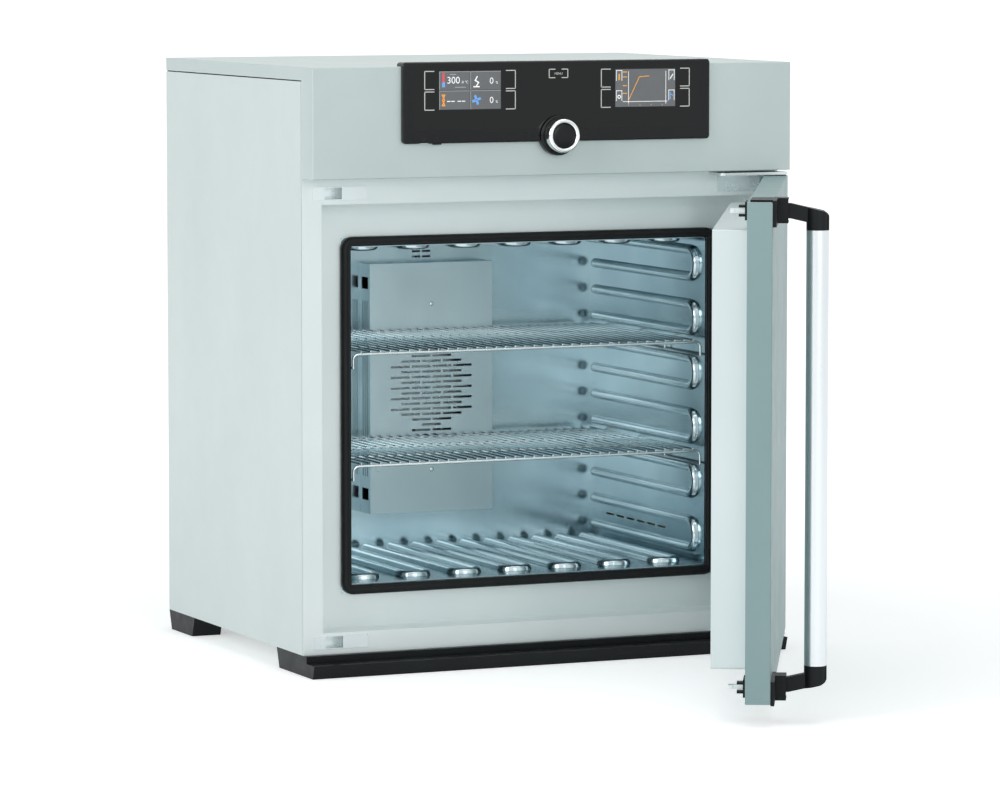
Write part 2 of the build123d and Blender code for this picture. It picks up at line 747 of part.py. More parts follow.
def fan_impeller():
    start, end = impeller_y
    plate = rod_y(IMPELLER_RADIUS, 0, (end - IMPELLER_PLATE, end), 0)
    hub = rod_y(HUB_RADIUS, 0, impeller_y, 0)
    blade_x = (IMPELLER_RADIUS / 2, IMPELLER_RADIUS - BLADE_INSET)
    blade = block(blade_x, (start, end), centred(0, IMPELLER_PLATE))
    blades = [Rot(0, 360 * index / IMPELLER_BLADES, 0) * blade for index in range(IMPELLER_BLADES)]
    return Pos(0, 0, fan_z) * (plate + hub + blades - rod_y(SHAFT_RADIUS, 0, impeller_y, 0))


def fan_shaft():
    return rod_y(SHAFT_RADIUS, 0, (impeller_y[0], inner_wall_back + SHAFT_IN_MOTOR), fan_z)


def fan_motor():
    housing = rod_y(MOTOR_RADIUS, 0, (inner_wall_back, inner_wall_back + MOTOR_LENGTH), fan_z)
    housing = chamfer(housing.faces().sort_by(Axis.Y)[-1].edges(), MOTOR_EDGE)
    bore_y = (inner_wall_back, inner_wall_back + SHAFT_IN_MOTOR + FIT)
    return housing - rod_y(SHAFT_RADIUS + RUNNING_GAP, 0, bore_y, fan_z)


def inner_rear_wall():
    y_range = (compartment_front, inner_wall_back)
    sheet = block((-sheet_side, sheet_side), y_range, (casing_floor, deck_bottom))
    return sheet - shaft_passage(y_range) - rod_y(VENT_RADIUS + FIT, 0, y_range, vent_z)


def temperature_sensor():
    probe_y = (chamber_back - COVER_DEPTH / 2, compartment_front)
    probe = rod_y(SENSOR_RADIUS, -SENSOR_OFFSET, probe_y, sensor_z)
    return chamfer(probe.faces().sort_by(Axis.Y)[0].edges(), SENSOR_RADIUS / 2)


# Insulation
insulation_y = (recess_rear_face, compartment_front)


def side_insulation():
    return block((insulation_side, sheet_side), insulation_y, (casing_floor, deck_bottom))


def level_insulation(z_range):
    return block((-insulation_side, insulation_side), insulation_y, z_range)


def rear_insulation():
    y_range = (liner_back, compartment_front)
    slab = block((-insulation_side, insulation_side), y_range, (insulation_floor, insulation_ceiling))
    pipe_hole = rod_y(VENT_RADIUS + FIT, 0, y_range, vent_z)
    return slab - pipe_hole - shaft_passage(y_range) - sensor_passage(y_range)


# Exhaust
def vent_pipe():
    y_range = (liner_back, rear + VENT_STANDOUT)
    pipe = rod_y(VENT_RADIUS, 0, y_range, vent_z) - rod_y(VENT_RADIUS - VENT_WALL, 0, y_range, vent_z)
    return pipe - rod_x(SPINDLE_RADIUS + RUNNING_GAP, (-VENT_RADIUS, VENT_RADIUS), flap_y, vent_z)


def air_flap():
    disc = rod_y(VENT_RADIUS - VENT_WALL - FIT, 0, centred(flap_y, FLAP_THICKNESS), vent_z)
    spindle_x = (-VENT_RADIUS - SPINDLE_RADIUS, VENT_RADIUS + FLAP_MOTOR_SIZE / 2)
    return disc + rod_x(SPINDLE_RADIUS, spindle_x, flap_y, vent_z)


def flap_motor():
    start = VENT_RADIUS + FIT
    y_range = (inner_wall_back, flap_y + FLAP_MOTOR_SIZE / 2)
    body = block((start, start + FLAP_MOTOR_SIZE), y_range, centred(vent_z, FLAP_MOTOR_SIZE))
    body = fillet(body.edges().filter_by(Axis.Y), FLAP_MOTOR_EDGE)
    socket_x = (start, start + FLAP_MOTOR_SIZE / 2 + FIT)
    return body - rod_x(SPINDLE_RADIUS + RUNNING_GAP, socket_x, flap_y, vent_z)


# Rear sockets
def inlet_body(margin):
    x_range = centred(-INLET_OFFSET, INLET_WIDTH + 2 * margin)
    return block(x_range, (rear - INLET_DEPTH, rear), centred(inlet_z, INLET_HEIGHT + 2 * margin))


def mains_inlet():
    flange_y = (rear, rear + INLET_WALL)
    flange = block(
        centred(-INLET_OFFSET, INLET_FLANGE_WIDTH), flange_y, centred(inlet_z, INLET_FLANGE_HEIGHT)
    )
    flange = fillet(flange.edges().filter_by(Axis.Y), INLET_FLANGE_CORNER)
    socket_y = (rear - INLET_DEPTH + INLET_WALL, rear + INLET_WALL)
    socket = block(
        centred(-INLET_OFFSET, INLET_WIDTH - 2 * INLET_WALL),
        socket_y,
        centred(inlet_z, INLET_HEIGHT - 2 * INLET_WALL),
    )
    pins = [
        block(
            centred(x - INLET_OFFSET, INLET_PIN_WIDTH),
            (socket_y[0], rear),
            centred(inlet_z, INLET_PIN_HEIGHT),
        )
        for x in (-INLET_PIN_PITCH, 0, INLET_PIN_PITCH)
    ]
    return flange + inlet_body(0) - socket + pins


def network_body(margin):
    x_range = centred(NETWORK_OFFSET, NETWORK_WIDTH + 2 * margin)
    return block(x_range, (rear - NETWORK_DEPTH, rear), centred(network_z, NETWORK_HEIGHT + 2 * margin))


def network_port():
    y_range = (rear - NETWORK_DEPTH + NETWORK_WALL, rear)
    top = network_z + NETWORK_HEIGHT / 2 - NETWORK_WALL
    bottom = network_z - NETWORK_HEIGHT / 2 + NETWORK_WALL
    shoulder = top - NETWORK_NOTCH / 2
    socket = block(centred(NETWORK_OFFSET, NETWORK_WIDTH - 2 * NETWORK_WALL), y_range, (bottom, shoulder))
    return network_body(0) - socket - block(centred(NETWORK_OFFSET, NETWORK_NOTCH), y_range, (shoulder, top))


# Control compartment
def instrument_deck():
    depth = (panel_front + SHEET, panel_back - SHEET)
    return block((-sheet_side, sheet_side), depth, (deck_bottom, deck_top))


def power_board():
    low = deck_top + POWER_BOARD_STANDOFF
    high = low + BOARD_THICKNESS
    middle_y = rear - POWER_BOARD_REAR_GAP - POWER_BOARD_DEPTH / 2
    board = block(centred(0, POWER_BOARD_WIDTH), centred(middle_y, POWER_BOARD_DEPTH), (low, high))
    feet = [
        block(
            centred(x * (POWER_BOARD_WIDTH - POWER_BOARD_STANDOFF) / 2, POWER_BOARD_STANDOFF),
            centred(middle_y + y * (POWER_BOARD_DEPTH - POWER_BOARD_STANDOFF) / 2, POWER_BOARD_STANDOFF),
            (deck_top, low),
        )
        for x in (-1, 1)
        for y in (-1, 1)
    ]
    quarter = POWER_BOARD_WIDTH / 4
    transformer = block(
        centred(-quarter, TRANSFORMER_SIZE),
        centred(middle_y, TRANSFORMER_SIZE),
        (high, high + TRANSFORMER_SIZE),
    )
    capacitors = [
        rod_z(CAPACITOR_RADIUS, x, middle_y - POWER_BOARD_DEPTH / 4, (high, high + CAPACITOR_HEIGHT))
        for x in (quarter - 1.5 * CAPACITOR_RADIUS, quarter + 1.5 * CAPACITOR_RADIUS)
    ]
    sink_y = middle_y + POWER_BOARD_DEPTH / 4
    fins = [
        block(
            centred(quarter, HEAT_SINK_LENGTH),
            centred(sink_y + HEAT_SINK_PITCH * (index - (HEAT_SINK_FINS - 1) / 2), BOARD_THICKNESS),
            (high, high + HEAT_SINK_HEIGHT),
        )
        for index in range(HEAT_SINK_FINS)
    ]
    sink_base = block(
        centred(quarter, HEAT_SINK_LENGTH),
        centred(sink_y, HEAT_SINK_PITCH * HEAT_SINK_FINS),
        (high, high + SHEET),
    )
    return board + feet + transformer + capacitors + fins + sink_base


control_board_y = (cockpit_back - BOARD_THICKNESS, cockpit_back)


def control_board():
    z_range = (insert_bottom + 2 * CONTROL_BOARD_MARGIN, insert_top - CONTROL_BOARD_MARGIN)
    return block(centred(0, CONTROL_BOARD_WIDTH), control_board_y, z_range)


# Control module
def cockpit_housing():
    plate = block((-cockpit_side, cockpit_side), (cockpit_front, front), (cockpit_bottom, cockpit_top))
    plate = fillet(plate.edges().filter_by(Axis.Y), COCKPIT_CORNER)
    plate = chamfer(plate.faces().sort_by(Axis.Y)[0].edges(), COCKPIT_EDGE)
    lip_y = (front, front + COCKPIT_LIP_DEPTH)
    lip = block((-cockpit_side, cockpit_side), lip_y, (cabinet_top, cockpit_top))
    lip = fillet(lip.edges().filter_by(Axis.Y).sort_by(Axis.Z)[2:], COCKPIT_CORNER)
    insert = block((-insert_side, insert_side), (front, cockpit_back), (insert_bottom, insert_top))
    room_side = insert_side - COCKPIT_WALL
    room_z = (insert_bottom + COCKPIT_WALL, insert_top - COCKPIT_WALL)
    insert = insert - block((-room_side, room_side), (front, cockpit_back), room_z)
    rib_x = CONTROL_BOARD_WIDTH / 2 - COCKPIT_WALL
    rib_z = (insert_bottom, insert_top)
    ribs = [block(centred(x, COCKPIT_WALL), (front, control_board_y[0]), rib_z) for x in (-rib_x, rib_x)]
    cup = rod_y(CUP_RADIUS, 0, (front, front + CUP_DEPTH), knob_z)
    cup_room = rod_y(CUP_RADIUS - CUP_WALL, 0, (cockpit_front, encoder_back), knob_z)
    collar_room = rod_y(COLLAR_RADIUS + FIT, 0, (cockpit_front, front), knob_z)
    key_room = block(
        centred(-KEY_OFFSET, KEY_WIDTH + 2 * FIT),
        centred(underside_y, KEY_THICKNESS + 2 * FIT),
        (cockpit_bottom, cockpit_bottom + KEY_HEIGHT + KEY_TRAVEL),
    )
    housing = plate + lip + insert + ribs + cup - cup_room - collar_room - key_room - data_port_body()
    return housing - glass_sheet() - display_pane(-1, FIT) - display_pane(1, FIT)


def glass_sheet():
    y_range = (cockpit_front, cockpit_front + GLASS_THICKNESS)
    return block((-glass_side, glass_side), y_range, (glass_bottom, glass_top))


def cockpit_glass():
    y_range = (cockpit_front, cockpit_front + GLASS_THICKNESS)
    collar_room = rod_y(COLLAR_RADIUS + FIT, 0, y_range, knob_z)
    return glass_sheet() - collar_room - display_pane(-1, FIT) - display_pane(1, FIT)


def display_pane(hand, margin):
    start = cockpit_front if margin else cockpit_front + DISPLAY_GAP
    return block(
        centred(hand * display_offset, DISPLAY_WIDTH + 2 * margin),
        (start, cockpit_front + DISPLAY_GAP + DISPLAY_THICKNESS),
        centred(display_z, DISPLAY_HEIGHT + 2 * margin),
    )


# Turn and press control
def knob_collar():
    y_range = (collar_front, front)
    collar = rod_y(COLLAR_RADIUS, 0, y_range, knob_z)
    collar = chamfer(collar.faces().sort_by(Axis.Y)[0].edges(), RING_EDGE)
    return collar - rod_y(collar_bore, 0, y_range, knob_z)


def knob_ring():
    body = rod_y(RING_RADIUS, 0, (ring_front, ring_back), knob_z)
    body = chamfer(body.faces().sort_by(Axis.Y)[0].edges(), RING_EDGE)
    bore = rod_y(RING_RADIUS - RING_WALL, 0, (ring_front, ring_back), knob_z)
    neck_y = (ring_back, ring_back + NECK_LENGTH)
    neck = rod_y(NECK_RADIUS, 0, neck_y, knob_z) - rod_y(NECK_RADIUS - NECK_WALL, 0, neck_y, knob_z)
    return body - bore + neck


def knob_button():
    cap = rod_y(RING_RADIUS - RING_WALL - FIT, 0, (button_front, button_back), knob_z)
    cap = chamfer(cap.faces().sort_by(Axis.Y)[0].edges(), BUTTON_EDGE)
    return cap + rod_y(STEM_RADIUS, 0, (button_back, button_back + STEM_LENGTH), knob_z)


def rotary_encoder():
    start = encoder_back - ENCODER_LENGTH
    body = rod_y(ENCODER_RADIUS, 0, (start, encoder_back), knob_z)
    bore_end = button_back + STEM_LENGTH + BUTTON_TRAVEL + FIT
    return body - rod_y(STEM_RADIUS + RUNNING_GAP, 0, (start, bore_end), knob_z)


# Underside of the control module
def power_key():
    low = cockpit_bottom - KEY_PROUD
    key_z = (low, low + KEY_HEIGHT)
    return block(centred(-KEY_OFFSET, KEY_WIDTH), centred(underside_y, KEY_THICKNESS), key_z)


def data_port_body():
    return block(
        centred(-DATA_PORT_OFFSET, DATA_PORT_WIDTH),
        centred(underside_y, DATA_PORT_THICKNESS),
        (cockpit_bottom, cockpit_bottom + DATA_PORT_HEIGHT),
    )


def usb_port():
    width = DATA_PORT_WIDTH - 2 * DATA_PORT_WALL
    thickness = DATA_PORT_THICKNESS - 2 * DATA_PORT_WALL
    top = cockpit_bottom + DATA_PORT_HEIGHT - DATA_PORT_WALL
    room = block(centred(-DATA_PORT_OFFSET, width), centred(underside_y, thickness), (cockpit_bottom, top))
    tongue_y = (underside_y, underside_y + thickness / 2)
    tongue_z = (cockpit_bottom + DATA_PORT_WALL, top)
    tongue = block(centred(-DATA_PORT_OFFSET, width), tongue_y, tongue_z)
    return data_port_body() - room + tongue


# Frame fittings of the latches and hinges
def strike_box(z, margin):
    left = lever_x - POCKET_LEFT - POCKET_UNDERCUT - STRIKE_BOX_WALL - margin
    right = lever_x + POCKET_RIGHT + STRIKE_BOX_WALL + margin
    half = POCKET_HALF_HEIGHT + STRIKE_BOX_WALL / 2 + margin
    return block((left, right), (frame_front, frame_front + STRIKE_BOX_DEPTH), (z - half, z + half))


def strike_plate(z):
    plate_front = frame_front - STRIKE_THICKNESS
    plate_z = (z - STRIKE_HALF_HEIGHT, z + STRIKE_HALF_HEIGHT)
    pocket_z = (z - POCKET_HALF_HEIGHT, z + POCKET_HALF_HEIGHT)
    left = lever_x - POCKET_LEFT
    right = lever_x + POCKET_RIGHT
    plate = block((lever_x - STRIKE_LEFT, lever_x + STRIKE_RIGHT), (plate_front, frame_front), plate_z)
    plate = fillet(plate.edges().filter_by(Axis.Y), STRIKE_BOX_WALL)
    mouth_back = plate_front + 2 * STRIKE_THICKNESS
    pocket_y = (mouth_back, frame_front + STRIKE_BOX_DEPTH - STRIKE_BOX_WALL)
    pocket = block((left - POCKET_UNDERCUT, right), pocket_y, pocket_z)
    mouth = block((left, right), (plate_front, mouth_back), pocket_z)
    tongue_z = (z - TONGUE_HALF_HEIGHT, z + TONGUE_HALF_HEIGHT)
    tongue = block((left, lever_x - TONGUE_LEFT), (plate_front, plate_front + TONGUE_THICKNESS), tongue_z)
    return plate + strike_box(z, 0) - pocket - mouth + tongue


def hinge_bracket(arm_z, flange_z, pin_z):
    y_range = (front + BRACKET_FRONT_SETBACK, frame_front)
    arm = block((side - BRACKET_WIDTH, side - FIT), y_range, arm_z)
    front_corners = arm.edges().filter_by(Axis.Z).sort_by(Axis.Y)[:2]
    arm = fillet(front_corners, BRACKET_CORNER)
    outer = side - BRACKET_FLANGE_INSET
    flange_y = (frame_front - BRACKET_FLANGE_THICKNESS, frame_front)
    flange = block((outer - BRACKET_FLANGE_WIDTH, outer), flange_y, flange_z)
    return arm + flange + rod_z(PIN_RADIUS, hinge_x, hinge_y, pin_z)


def upper_bracket():
    arm_top = upper_arm_bottom + BRACKET_THICKNESS
    flange_z = (upper_arm_bottom - BRACKET_FLANGE_HEIGHT, arm_top)
    return hinge_bracket((upper_arm_bottom, arm_top), flange_z, (door_top - PIN_LENGTH, arm_top))


def lower_bracket():
    flange_z = (lower_arm_bottom, lower_arm_top + BRACKET_FLANGE_HEIGHT)
    pin_z = (lower_arm_bottom, door_bottom + PIN_LENGTH)
    return hinge_bracket((lower_arm_bottom, lower_arm_top), flange_z, pin_z)


# Door
def door_outer_panel():
    pan = block((-side, side), (front, door_back), (door_bottom, door_top))
    pan = fillet(pan.faces().sort_by(Axis.Y)[0].edges(), DOOR_EDGE)
    room_z = (door_bottom + SHEET, door_top - SHEET)
    room = block((-sheet_side, sheet_side), (front + SHEET, door_back), room_z)
    slots = [hook_slot((front, front + SHEET), z) for z in latch_heights]
    return pan - room - slots - rod_z(BUSH_RADIUS, hinge_x, hinge_y, (door_bottom, door_top))


def hook_slot(y_range, z):
    """The slot in the outer skin and in the guard that the hook swings in."""
    x_range = (lever_x - GUARD_OPENING_LEFT, lever_x + GUARD_OPENING_RIGHT)
    return block(x_range, y_range, (z - slot_half_height, z + slot_half_height))


def door_inner_panel():
    sheet_z = (door_bottom + SHEET, door_top - SHEET)
    sheet = block((-sheet_side, sheet_side), (door_back - SHEET, door_back), sheet_z)
    plug = block((-plug_side, plug_side), (door_back - SHEET, plug_back), (plug_bottom, plug_top))
    plug = fillet(plug.edges().filter_by(Axis.Y), PLUG_CORNER)
    inner = plug_side - SHEET
    room_y = (door_back - SHEET, plug_back - SHEET)
    room = block((-inner, inner), room_y, (plug_bottom + SHEET, plug_top - SHEET))
    return sheet + plug - room - [housing_body(z) for z in latch_heights]


def door_insulation():
    half = plug_side - INSULATION_GAP
    z_range = (plug_bottom + INSULATION_GAP, plug_top - INSULATION_GAP)
    return block((-half, half), (front + SHEET, plug_back - SHEET), z_range)


def hinge_bush(body_z, flange_z):
    bush = rod_z(BUSH_RADIUS, hinge_x, hinge_y, body_z)
    bush += rod_z(BUSH_FLANGE_RADIUS, hinge_x, hinge_y, flange_z)
    bore_z = (min(body_z[0], flange_z[0]), max(body_z[1], flange_z[1]))
    return bush - rod_z(PIN_RADIUS + RUNNING_GAP, hinge_x, hinge_y, bore_z)


def hinge_bushes():
    upper = hinge_bush((door_top - BUSH_LENGTH, door_top), (door_top, door_top + BUSH_FLANGE_TOP))
    lower_z = (door_bottom, door_bottom + BUSH_LENGTH)
    lower = hinge_bush(lower_z, (door_bottom - BUSH_FLANGE_BOTTOM, door_bottom))
    return [upper, lower]


# Latches and handle
def housing_body(z):
    x_range = (lever_x - HOUSING_LEFT, lever_x + HOUSING_RIGHT)
    y_range = (door_back - HOUSING_DEPTH, door_back)
    return block(x_range, y_range, (z - HOUSING_HALF_HEIGHT, z + HOUSING_HALF_HEIGHT))


def latch_housing(z):
    flange_back = door_back + HOUSING_FLANGE_THICKNESS
    half = HOUSING_HALF_HEIGHT + HOUSING_FLANGE / 2
    flange_x = (lever_x - HOUSING_LEFT - HOUSING_FLANGE, lever_x + HOUSING_RIGHT + HOUSING_FLANGE)
    flange = block(flange_x, (door_back, flange_back), (z - half, z + half))
    inner = slot_half_height + FORK_GAP
    fingers = [
        block((lever_x - FORK_LEFT, lever_x + FORK_RIGHT), (flange_back, flange_back + FORK_LENGTH), z_range)
        for z_range in ((z + inner, z + inner + FORK_THICKNESS), (z - inner - FORK_THICKNESS, z - inner))
    ]
    slot_x = (lever_x - HOUSING_LEFT + HOUSING_SIDE_WALL, lever_x + HOUSING_RIGHT - HOUSING_SIDE_WALL)
    slot_z = (z - slot_half_height, z + slot_half_height)
    slot = block(slot_x, (door_back - HOUSING_DEPTH, flange_back), slot_z)
    return housing_body(z) + flange + fingers - slot - lever_pin(z)


def lever_pin(z):
    return rod_z(LEVER_PIN_RADIUS, lever_x, lever_y, (z - LEVER_PIN_HALF_LENGTH, z + LEVER_PIN_HALF_LENGTH))


def latch_hook(z):
    half_width = HOOK_WIDTH / 2
    half_tail = HOOK_TAIL_WIDTH / 2
    tip = lever_y + HOOK_REACH
    z_range = (z - HOOK_THICKNESS / 2, z + HOOK_THICKNESS / 2)
    shank = block((lever_x - half_width, lever_x + half_width), (lever_y, tip), z_range)
    nose_x = (lever_x - half_width - HOOK_NOSE, lever_x - half_width)
    nose = block(nose_x, (tip - HOOK_NOSE_LENGTH, tip), z_range)
    tail_y = (lever_y - HOOK_TAIL_LENGTH, lever_y)
    tail = block((lever_x - half_tail, lever_x + half_tail), tail_y, z_range)
    eye = rod_z(HOOK_EYE_RADIUS, lever_x, lever_y, z_range)
    return shank + nose + tail + eye - rod_z(LEVER_PIN_RADIUS + RUNNING_GAP, lever_x, lever_y, z_range)


def corner_guard(z, strip_z, edge_z):
    strip_x = (lever_x - GUARD_LEFT, lever_x + GUARD_RIGHT)
    strip = block(strip_x, (guard_front, front), strip_z)
    strip = fillet(strip.edges().filter_by(Axis.Y), GUARD_EDGE_PLATE * 0.8)
    edge_x = (lever_x - GUARD_LEFT + SHEET_FLANGE, lever_x + GUARD_RIGHT - SHEET_FLANGE)
    edge = block(edge_x, (front, front + GUARD_EDGE_DEPTH), edge_z)
    shroud_z = (z - SHROUD_BELOW, z + SHROUD_ABOVE)
    shroud = block((lever_x - SHROUD_LEFT, lever_x + SHROUD_RIGHT), (shroud_front, guard_front), shroud_z)
    room_x = (lever_x - SHROUD_LEFT + SHROUD_WALL, lever_x + SHROUD_RIGHT)
    room_z = (shroud_z[0] + SHROUD_WALL, shroud_z[1] - SHROUD_WALL)
    room = block(room_x, (shroud_front, guard_front), room_z)
    return strip + edge + (shroud - room) - hook_slot((guard_front, front), z)


def corner_guards():
    top_edge = (door_top, door_top + GUARD_EDGE_PLATE)
    bottom_edge = (door_bottom - GUARD_EDGE_PLATE, door_bottom)
    upper_strip = (door_top - GUARD_HEIGHT, top_edge[1])
    lower_strip = (bottom_edge[0], door_bottom + GUARD_HEIGHT - GUARD_EDGE_PLATE)
    upper = corner_guard(upper_latch_z, upper_strip, top_edge)
    return [upper, corner_guard(lower_latch_z, lower_strip, bottom_edge)]


def lever():
    """A lever of the upper latch, level with the origin, whose tube hangs down from it."""
    inner_y = handle_y + HANDLE_RADIUS
    outer_y = handle_y - HANDLE_RADIUS
    slope_y = shroud_front - LEVER_SLOPE_START
    reach = slope_y - (outer_y + LEVER_END_DROP)
    under = -LEVER_HALF_HEIGHT - LEVER_DROP * (slope_y - inner_y) / reach
    points = [
        (guard_front, -LEVER_HALF_HEIGHT),
        (slope_y, -LEVER_HALF_HEIGHT),
        (inner_y, under),
        (inner_y, -SOCKET_DROP),
        (outer_y, -SOCKET_DROP),
        (outer_y, LEVER_HALF_HEIGHT - LEVER_DROP - LEVER_END_DROP),
        (outer_y + LEVER_END_ROUND / 2, LEVER_HALF_HEIGHT - LEVER_DROP - LEVER_END_ROUND),
        (outer_y + LEVER_END_DROP, LEVER_HALF_HEIGHT - LEVER_DROP),
        (slope_y, LEVER_HALF_HEIGHT),
        (guard_front, LEVER_HALF_HEIGHT),
    ]
    arm = extruded_x(points, centred(lever_x, LEVER_WIDTH))
    turns = [-LOCK_ANGLE * step / GUARD_ROOM_STEPS for step in range(GUARD_ROOM_STEPS + 1)]
    arm = arm - [about_pivot(turn) * guard_room() for turn in turns]
    post = rod_z(HANDLE_RADIUS, lever_x, handle_y, (-SOCKET_DROP, LEVER_HALF_HEIGHT))
    socket = extruded_x(points, centred(lever_x, 2 * HANDLE_RADIUS)) & post
    spigot_radius = HANDLE_RADIUS - HANDLE_WALL
    spigot_z = (-SOCKET_DROP - SPIGOT_LENGTH, -SOCKET_DROP)
    spigot = rod_z(spigot_radius, lever_x, handle_y, spigot_z)
    return arm + socket + spigot - rod_z(spigot_radius - SPIGOT_WALL, lever_x, handle_y, spigot_z)


def about_pivot(angle):
    return Pos(lever_x, lever_y, 0) * Rot(0, 0, angle) * Pos(-lever_x, -lever_y, 0)


def guard_room():
    """The space of the door and its guard, which the lever keeps clear of when it locks."""
    half = 2 * GUARD_OPENING_RIGHT
    height = centred(0, 4 * LEVER_HALF_HEIGHT)
    return block((lever_x - half, lever_x + half), (guard_front - FIT, door_back), height)


def handle_levers():
    hooks = [latch_hook(z) for z in latch_heights]
    upper = Pos(0, 0, upper_latch_z) * lever()
    lower = Pos(0, 0, lower_lever_z) * mirror(lever(), about=Plane.XY)
    return [upper - hooks, lower - hooks]


def handle_tube():
    z_range = (lower_lever_z + SOCKET_DROP, upper_latch_z - SOCKET_DROP)
    tube = rod_z(HANDLE_RADIUS, lever_x, handle_y, z_range)
    return tube - rod_z(HANDLE_RADIUS - HANDLE_WALL, lever_x, handle_y, z_range)


# Shelves
def shelf(rib_index):
    rail_x = chamber_side - SHELF_SIDE_GAP - FRAME_WIRE_RADIUS
    leg_z = side_rib_z(rib_index) + RIB_LEG_SPACING / 2
    rail_z = leg_z + rib_half_width + FIT + FRAME_WIRE_RADIUS - RAIL_SETTLE
    grid_z = rail_z + SHELF_RISE
    cross_z = grid_z - GRID_WIRE_RADIUS - FRAME_WIRE_RADIUS
    first_y = chamber_front + SHELF_FRONT_GAP + FRAME_WIRE_RADIUS
    last_y = cover_front - SHELF_REAR_GAP - FRAME_WIRE_RADIUS
    step = (last_y - first_y) / (CROSS_WIRE_COUNT - 1)
    places = [(-rail_x, rail_z), (-rail_x, cross_z), (rail_x, cross_z), (rail_x, rail_z)]
    path = FilletPolyline(*[(x, first_y, z) for x, z in places], radius=WIRE_BEND)
    start = Plane(origin=(-rail_x, first_y, rail_z), z_dir=(0, 0, 1))
    cross_wire = sweep(start * wire_section(FRAME_WIRE_RADIUS), path)
    cross_wires = [Pos(0, step * index, 0) * cross_wire for index in range(CROSS_WIRE_COUNT)]
    wire_y = (first_y - FRAME_WIRE_RADIUS, last_y + FRAME_WIRE_RADIUS)
    rails = [wire_along_y(FRAME_WIRE_RADIUS, x, wire_y, rail_z) for x in (-rail_x, rail_x)]
    count = round(2 * (rail_x - GRID_MARGIN + FRAME_WIRE_RADIUS) / GRID_WIRE_PITCH) + 1
    grid = [
        wire_along_y(GRID_WIRE_RADIUS, GRID_WIRE_PITCH * (index - (count - 1) / 2), wire_y, grid_z)
        for index in range(count)
    ]
    return cross_wires[0].fuse(*cross_wires[1:], *rails, *grid)


def wire_section(radius):
    """The outline of a wire, with flats where the wires lie on each other."""
    return RegularPolygon(radius, WIRE_SIDES, major_radius=False)


def wire_along_y(radius, x, y_range, z):
    section = Plane(origin=(x, y_range[0], z), x_dir=(1, 0, 0), z_dir=(0, 1, 0)) * wire_section(radius)
    return extrude(section, y_range[1] - y_range[0], dir=(0, 1, 0))


os.makedirs("parts", exist_ok=True)

# Cabinet
save("front_plinth", front_plinth())
save("rear_feet", rear_foot(), mirrored(rear_foot()))
save("base_panel", base_panel())
save("right_side_panel", side_panel())
save("left_side_panel", mirrored(side_panel()))
save("lid", lid())
save("rear_panel", rear_panel())
save("face_frame", face_frame())
save("door_recess", door_recess())
save("gasket", gasket())
save("fascia", fascia())
save("chamber_shell", chamber_shell())
save("chamber_rear_wall", chamber_rear_wall())

side_rib = rib(SIDE_RIB_SETBACK)
level_rib = rib(LEVEL_RIB_SETBACK)
save("left_wall_ribs", *[on_side_wall(side_rib, -chamber_side, 1, index) for index in side_ribs()])
save("right_wall_ribs", *[on_side_wall(side_rib, chamber_side, -1, index) for index in side_ribs()])
save("floor_ribs", *[on_level_wall(level_rib, x, chamber_floor, 1) for x in level_rib_places()])
save("ceiling_ribs", *[on_level_wall(level_rib, x, chamber_top, -1) for x in level_rib_places()])

side_heater = heater(SIDE_RIB_SETBACK)
level_heater = heater(LEVEL_RIB_SETBACK)
left_heaters = [on_side_wall(side_heater, -liner_side, -1, index) for index in side_ribs()]
right_heaters = [on_side_wall(side_heater, liner_side, 1, index) for index in side_ribs()]
floor_heaters = [on_level_wall(level_heater, x, liner_bottom, -1) for x in level_rib_places()]
ceiling_heaters = [on_level_wall(level_heater, x, liner_top, 1) for x in level_rib_places()]
save("side_heaters", *left_heaters, *right_heaters)
save("floor_ceiling_heaters", *floor_heaters, *ceiling_heaters)

save("fan_cover", fan_cover())
save("fan_motor", fan_motor())
save("inner_rear_wall", inner_rear_wall())
save("temperature_sensor", temperature_sensor())
save("side_insulation", side_insulation(), mirrored(side_insulation()))
floor_slab = level_insulation((casing_floor, insulation_floor))
ceiling_slab = level_insulation((insulation_ceiling, deck_bottom))
save("top_bottom_insulation", floor_slab, ceiling_slab)
save("rear_insulation", rear_insulation())
save("instrument_deck", instrument_deck())
save("power_board", power_board())
save("control_board", control_board())
save("vent_pipe", vent_pipe())
save("flap_motor", flap_motor())
save("mains_inlet", mains_inlet())
save("network_port", network_port())
save("cockpit_housing", cockpit_housing())
save("cockpit_glass", cockpit_glass())
save("left_display", display_pane(-1, 0))
save("right_display", display_pane(1, 0))
save("knob_collar", knob_collar())
save("rotary_encoder", rotary_encoder())
save("usb_port", usb_port())
save("strike_plates", *[strike_plate(z) for z in latch_heights])
save("hinge_brackets", upper_bracket(), lower_bracket())

# Pieces that move on the cabinet
save("fan_impeller", fan_impeller())
save("fan_shaft", fan_shaft())
save("air_flap", air_flap())
save("knob_ring", knob_ring())
save("knob_button", knob_button())
save("power_key", power_key())
save("upper_shelf", shelf(UPPER_SHELF_RIB))
save("lower_shelf", shelf(LOWER_SHELF_RIB))

# Door and handle, swung open
save("door_outer_panel", opened * door_outer_panel())
save("door_inner_panel", opened * door_inner_panel())
save("door_insulation", opened * door_insulation())
save("hinge_bushes", *[opened * bush for bush in hinge_bushes()])
save("corner_guards", *[opened * guard for guard in corner_guards()])
save("latch_housings", *[opened * latch_housing(z) for z in latch_heights])
save("lever_pins", *[opened * lever_pin(z) for z in latch_heights])
save("latch_hooks", *[opened * latch_hook(z) for z in latch_heights])
save("handle_levers", *[opened * piece for piece in handle_levers()])
save("handle_tube", opened * handle_tube())
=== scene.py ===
"""A laboratory oven with its door open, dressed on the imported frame. Lengths are in metres."""
import json
import math

import bmesh
import bpy
from mathutils import Matrix, Vector


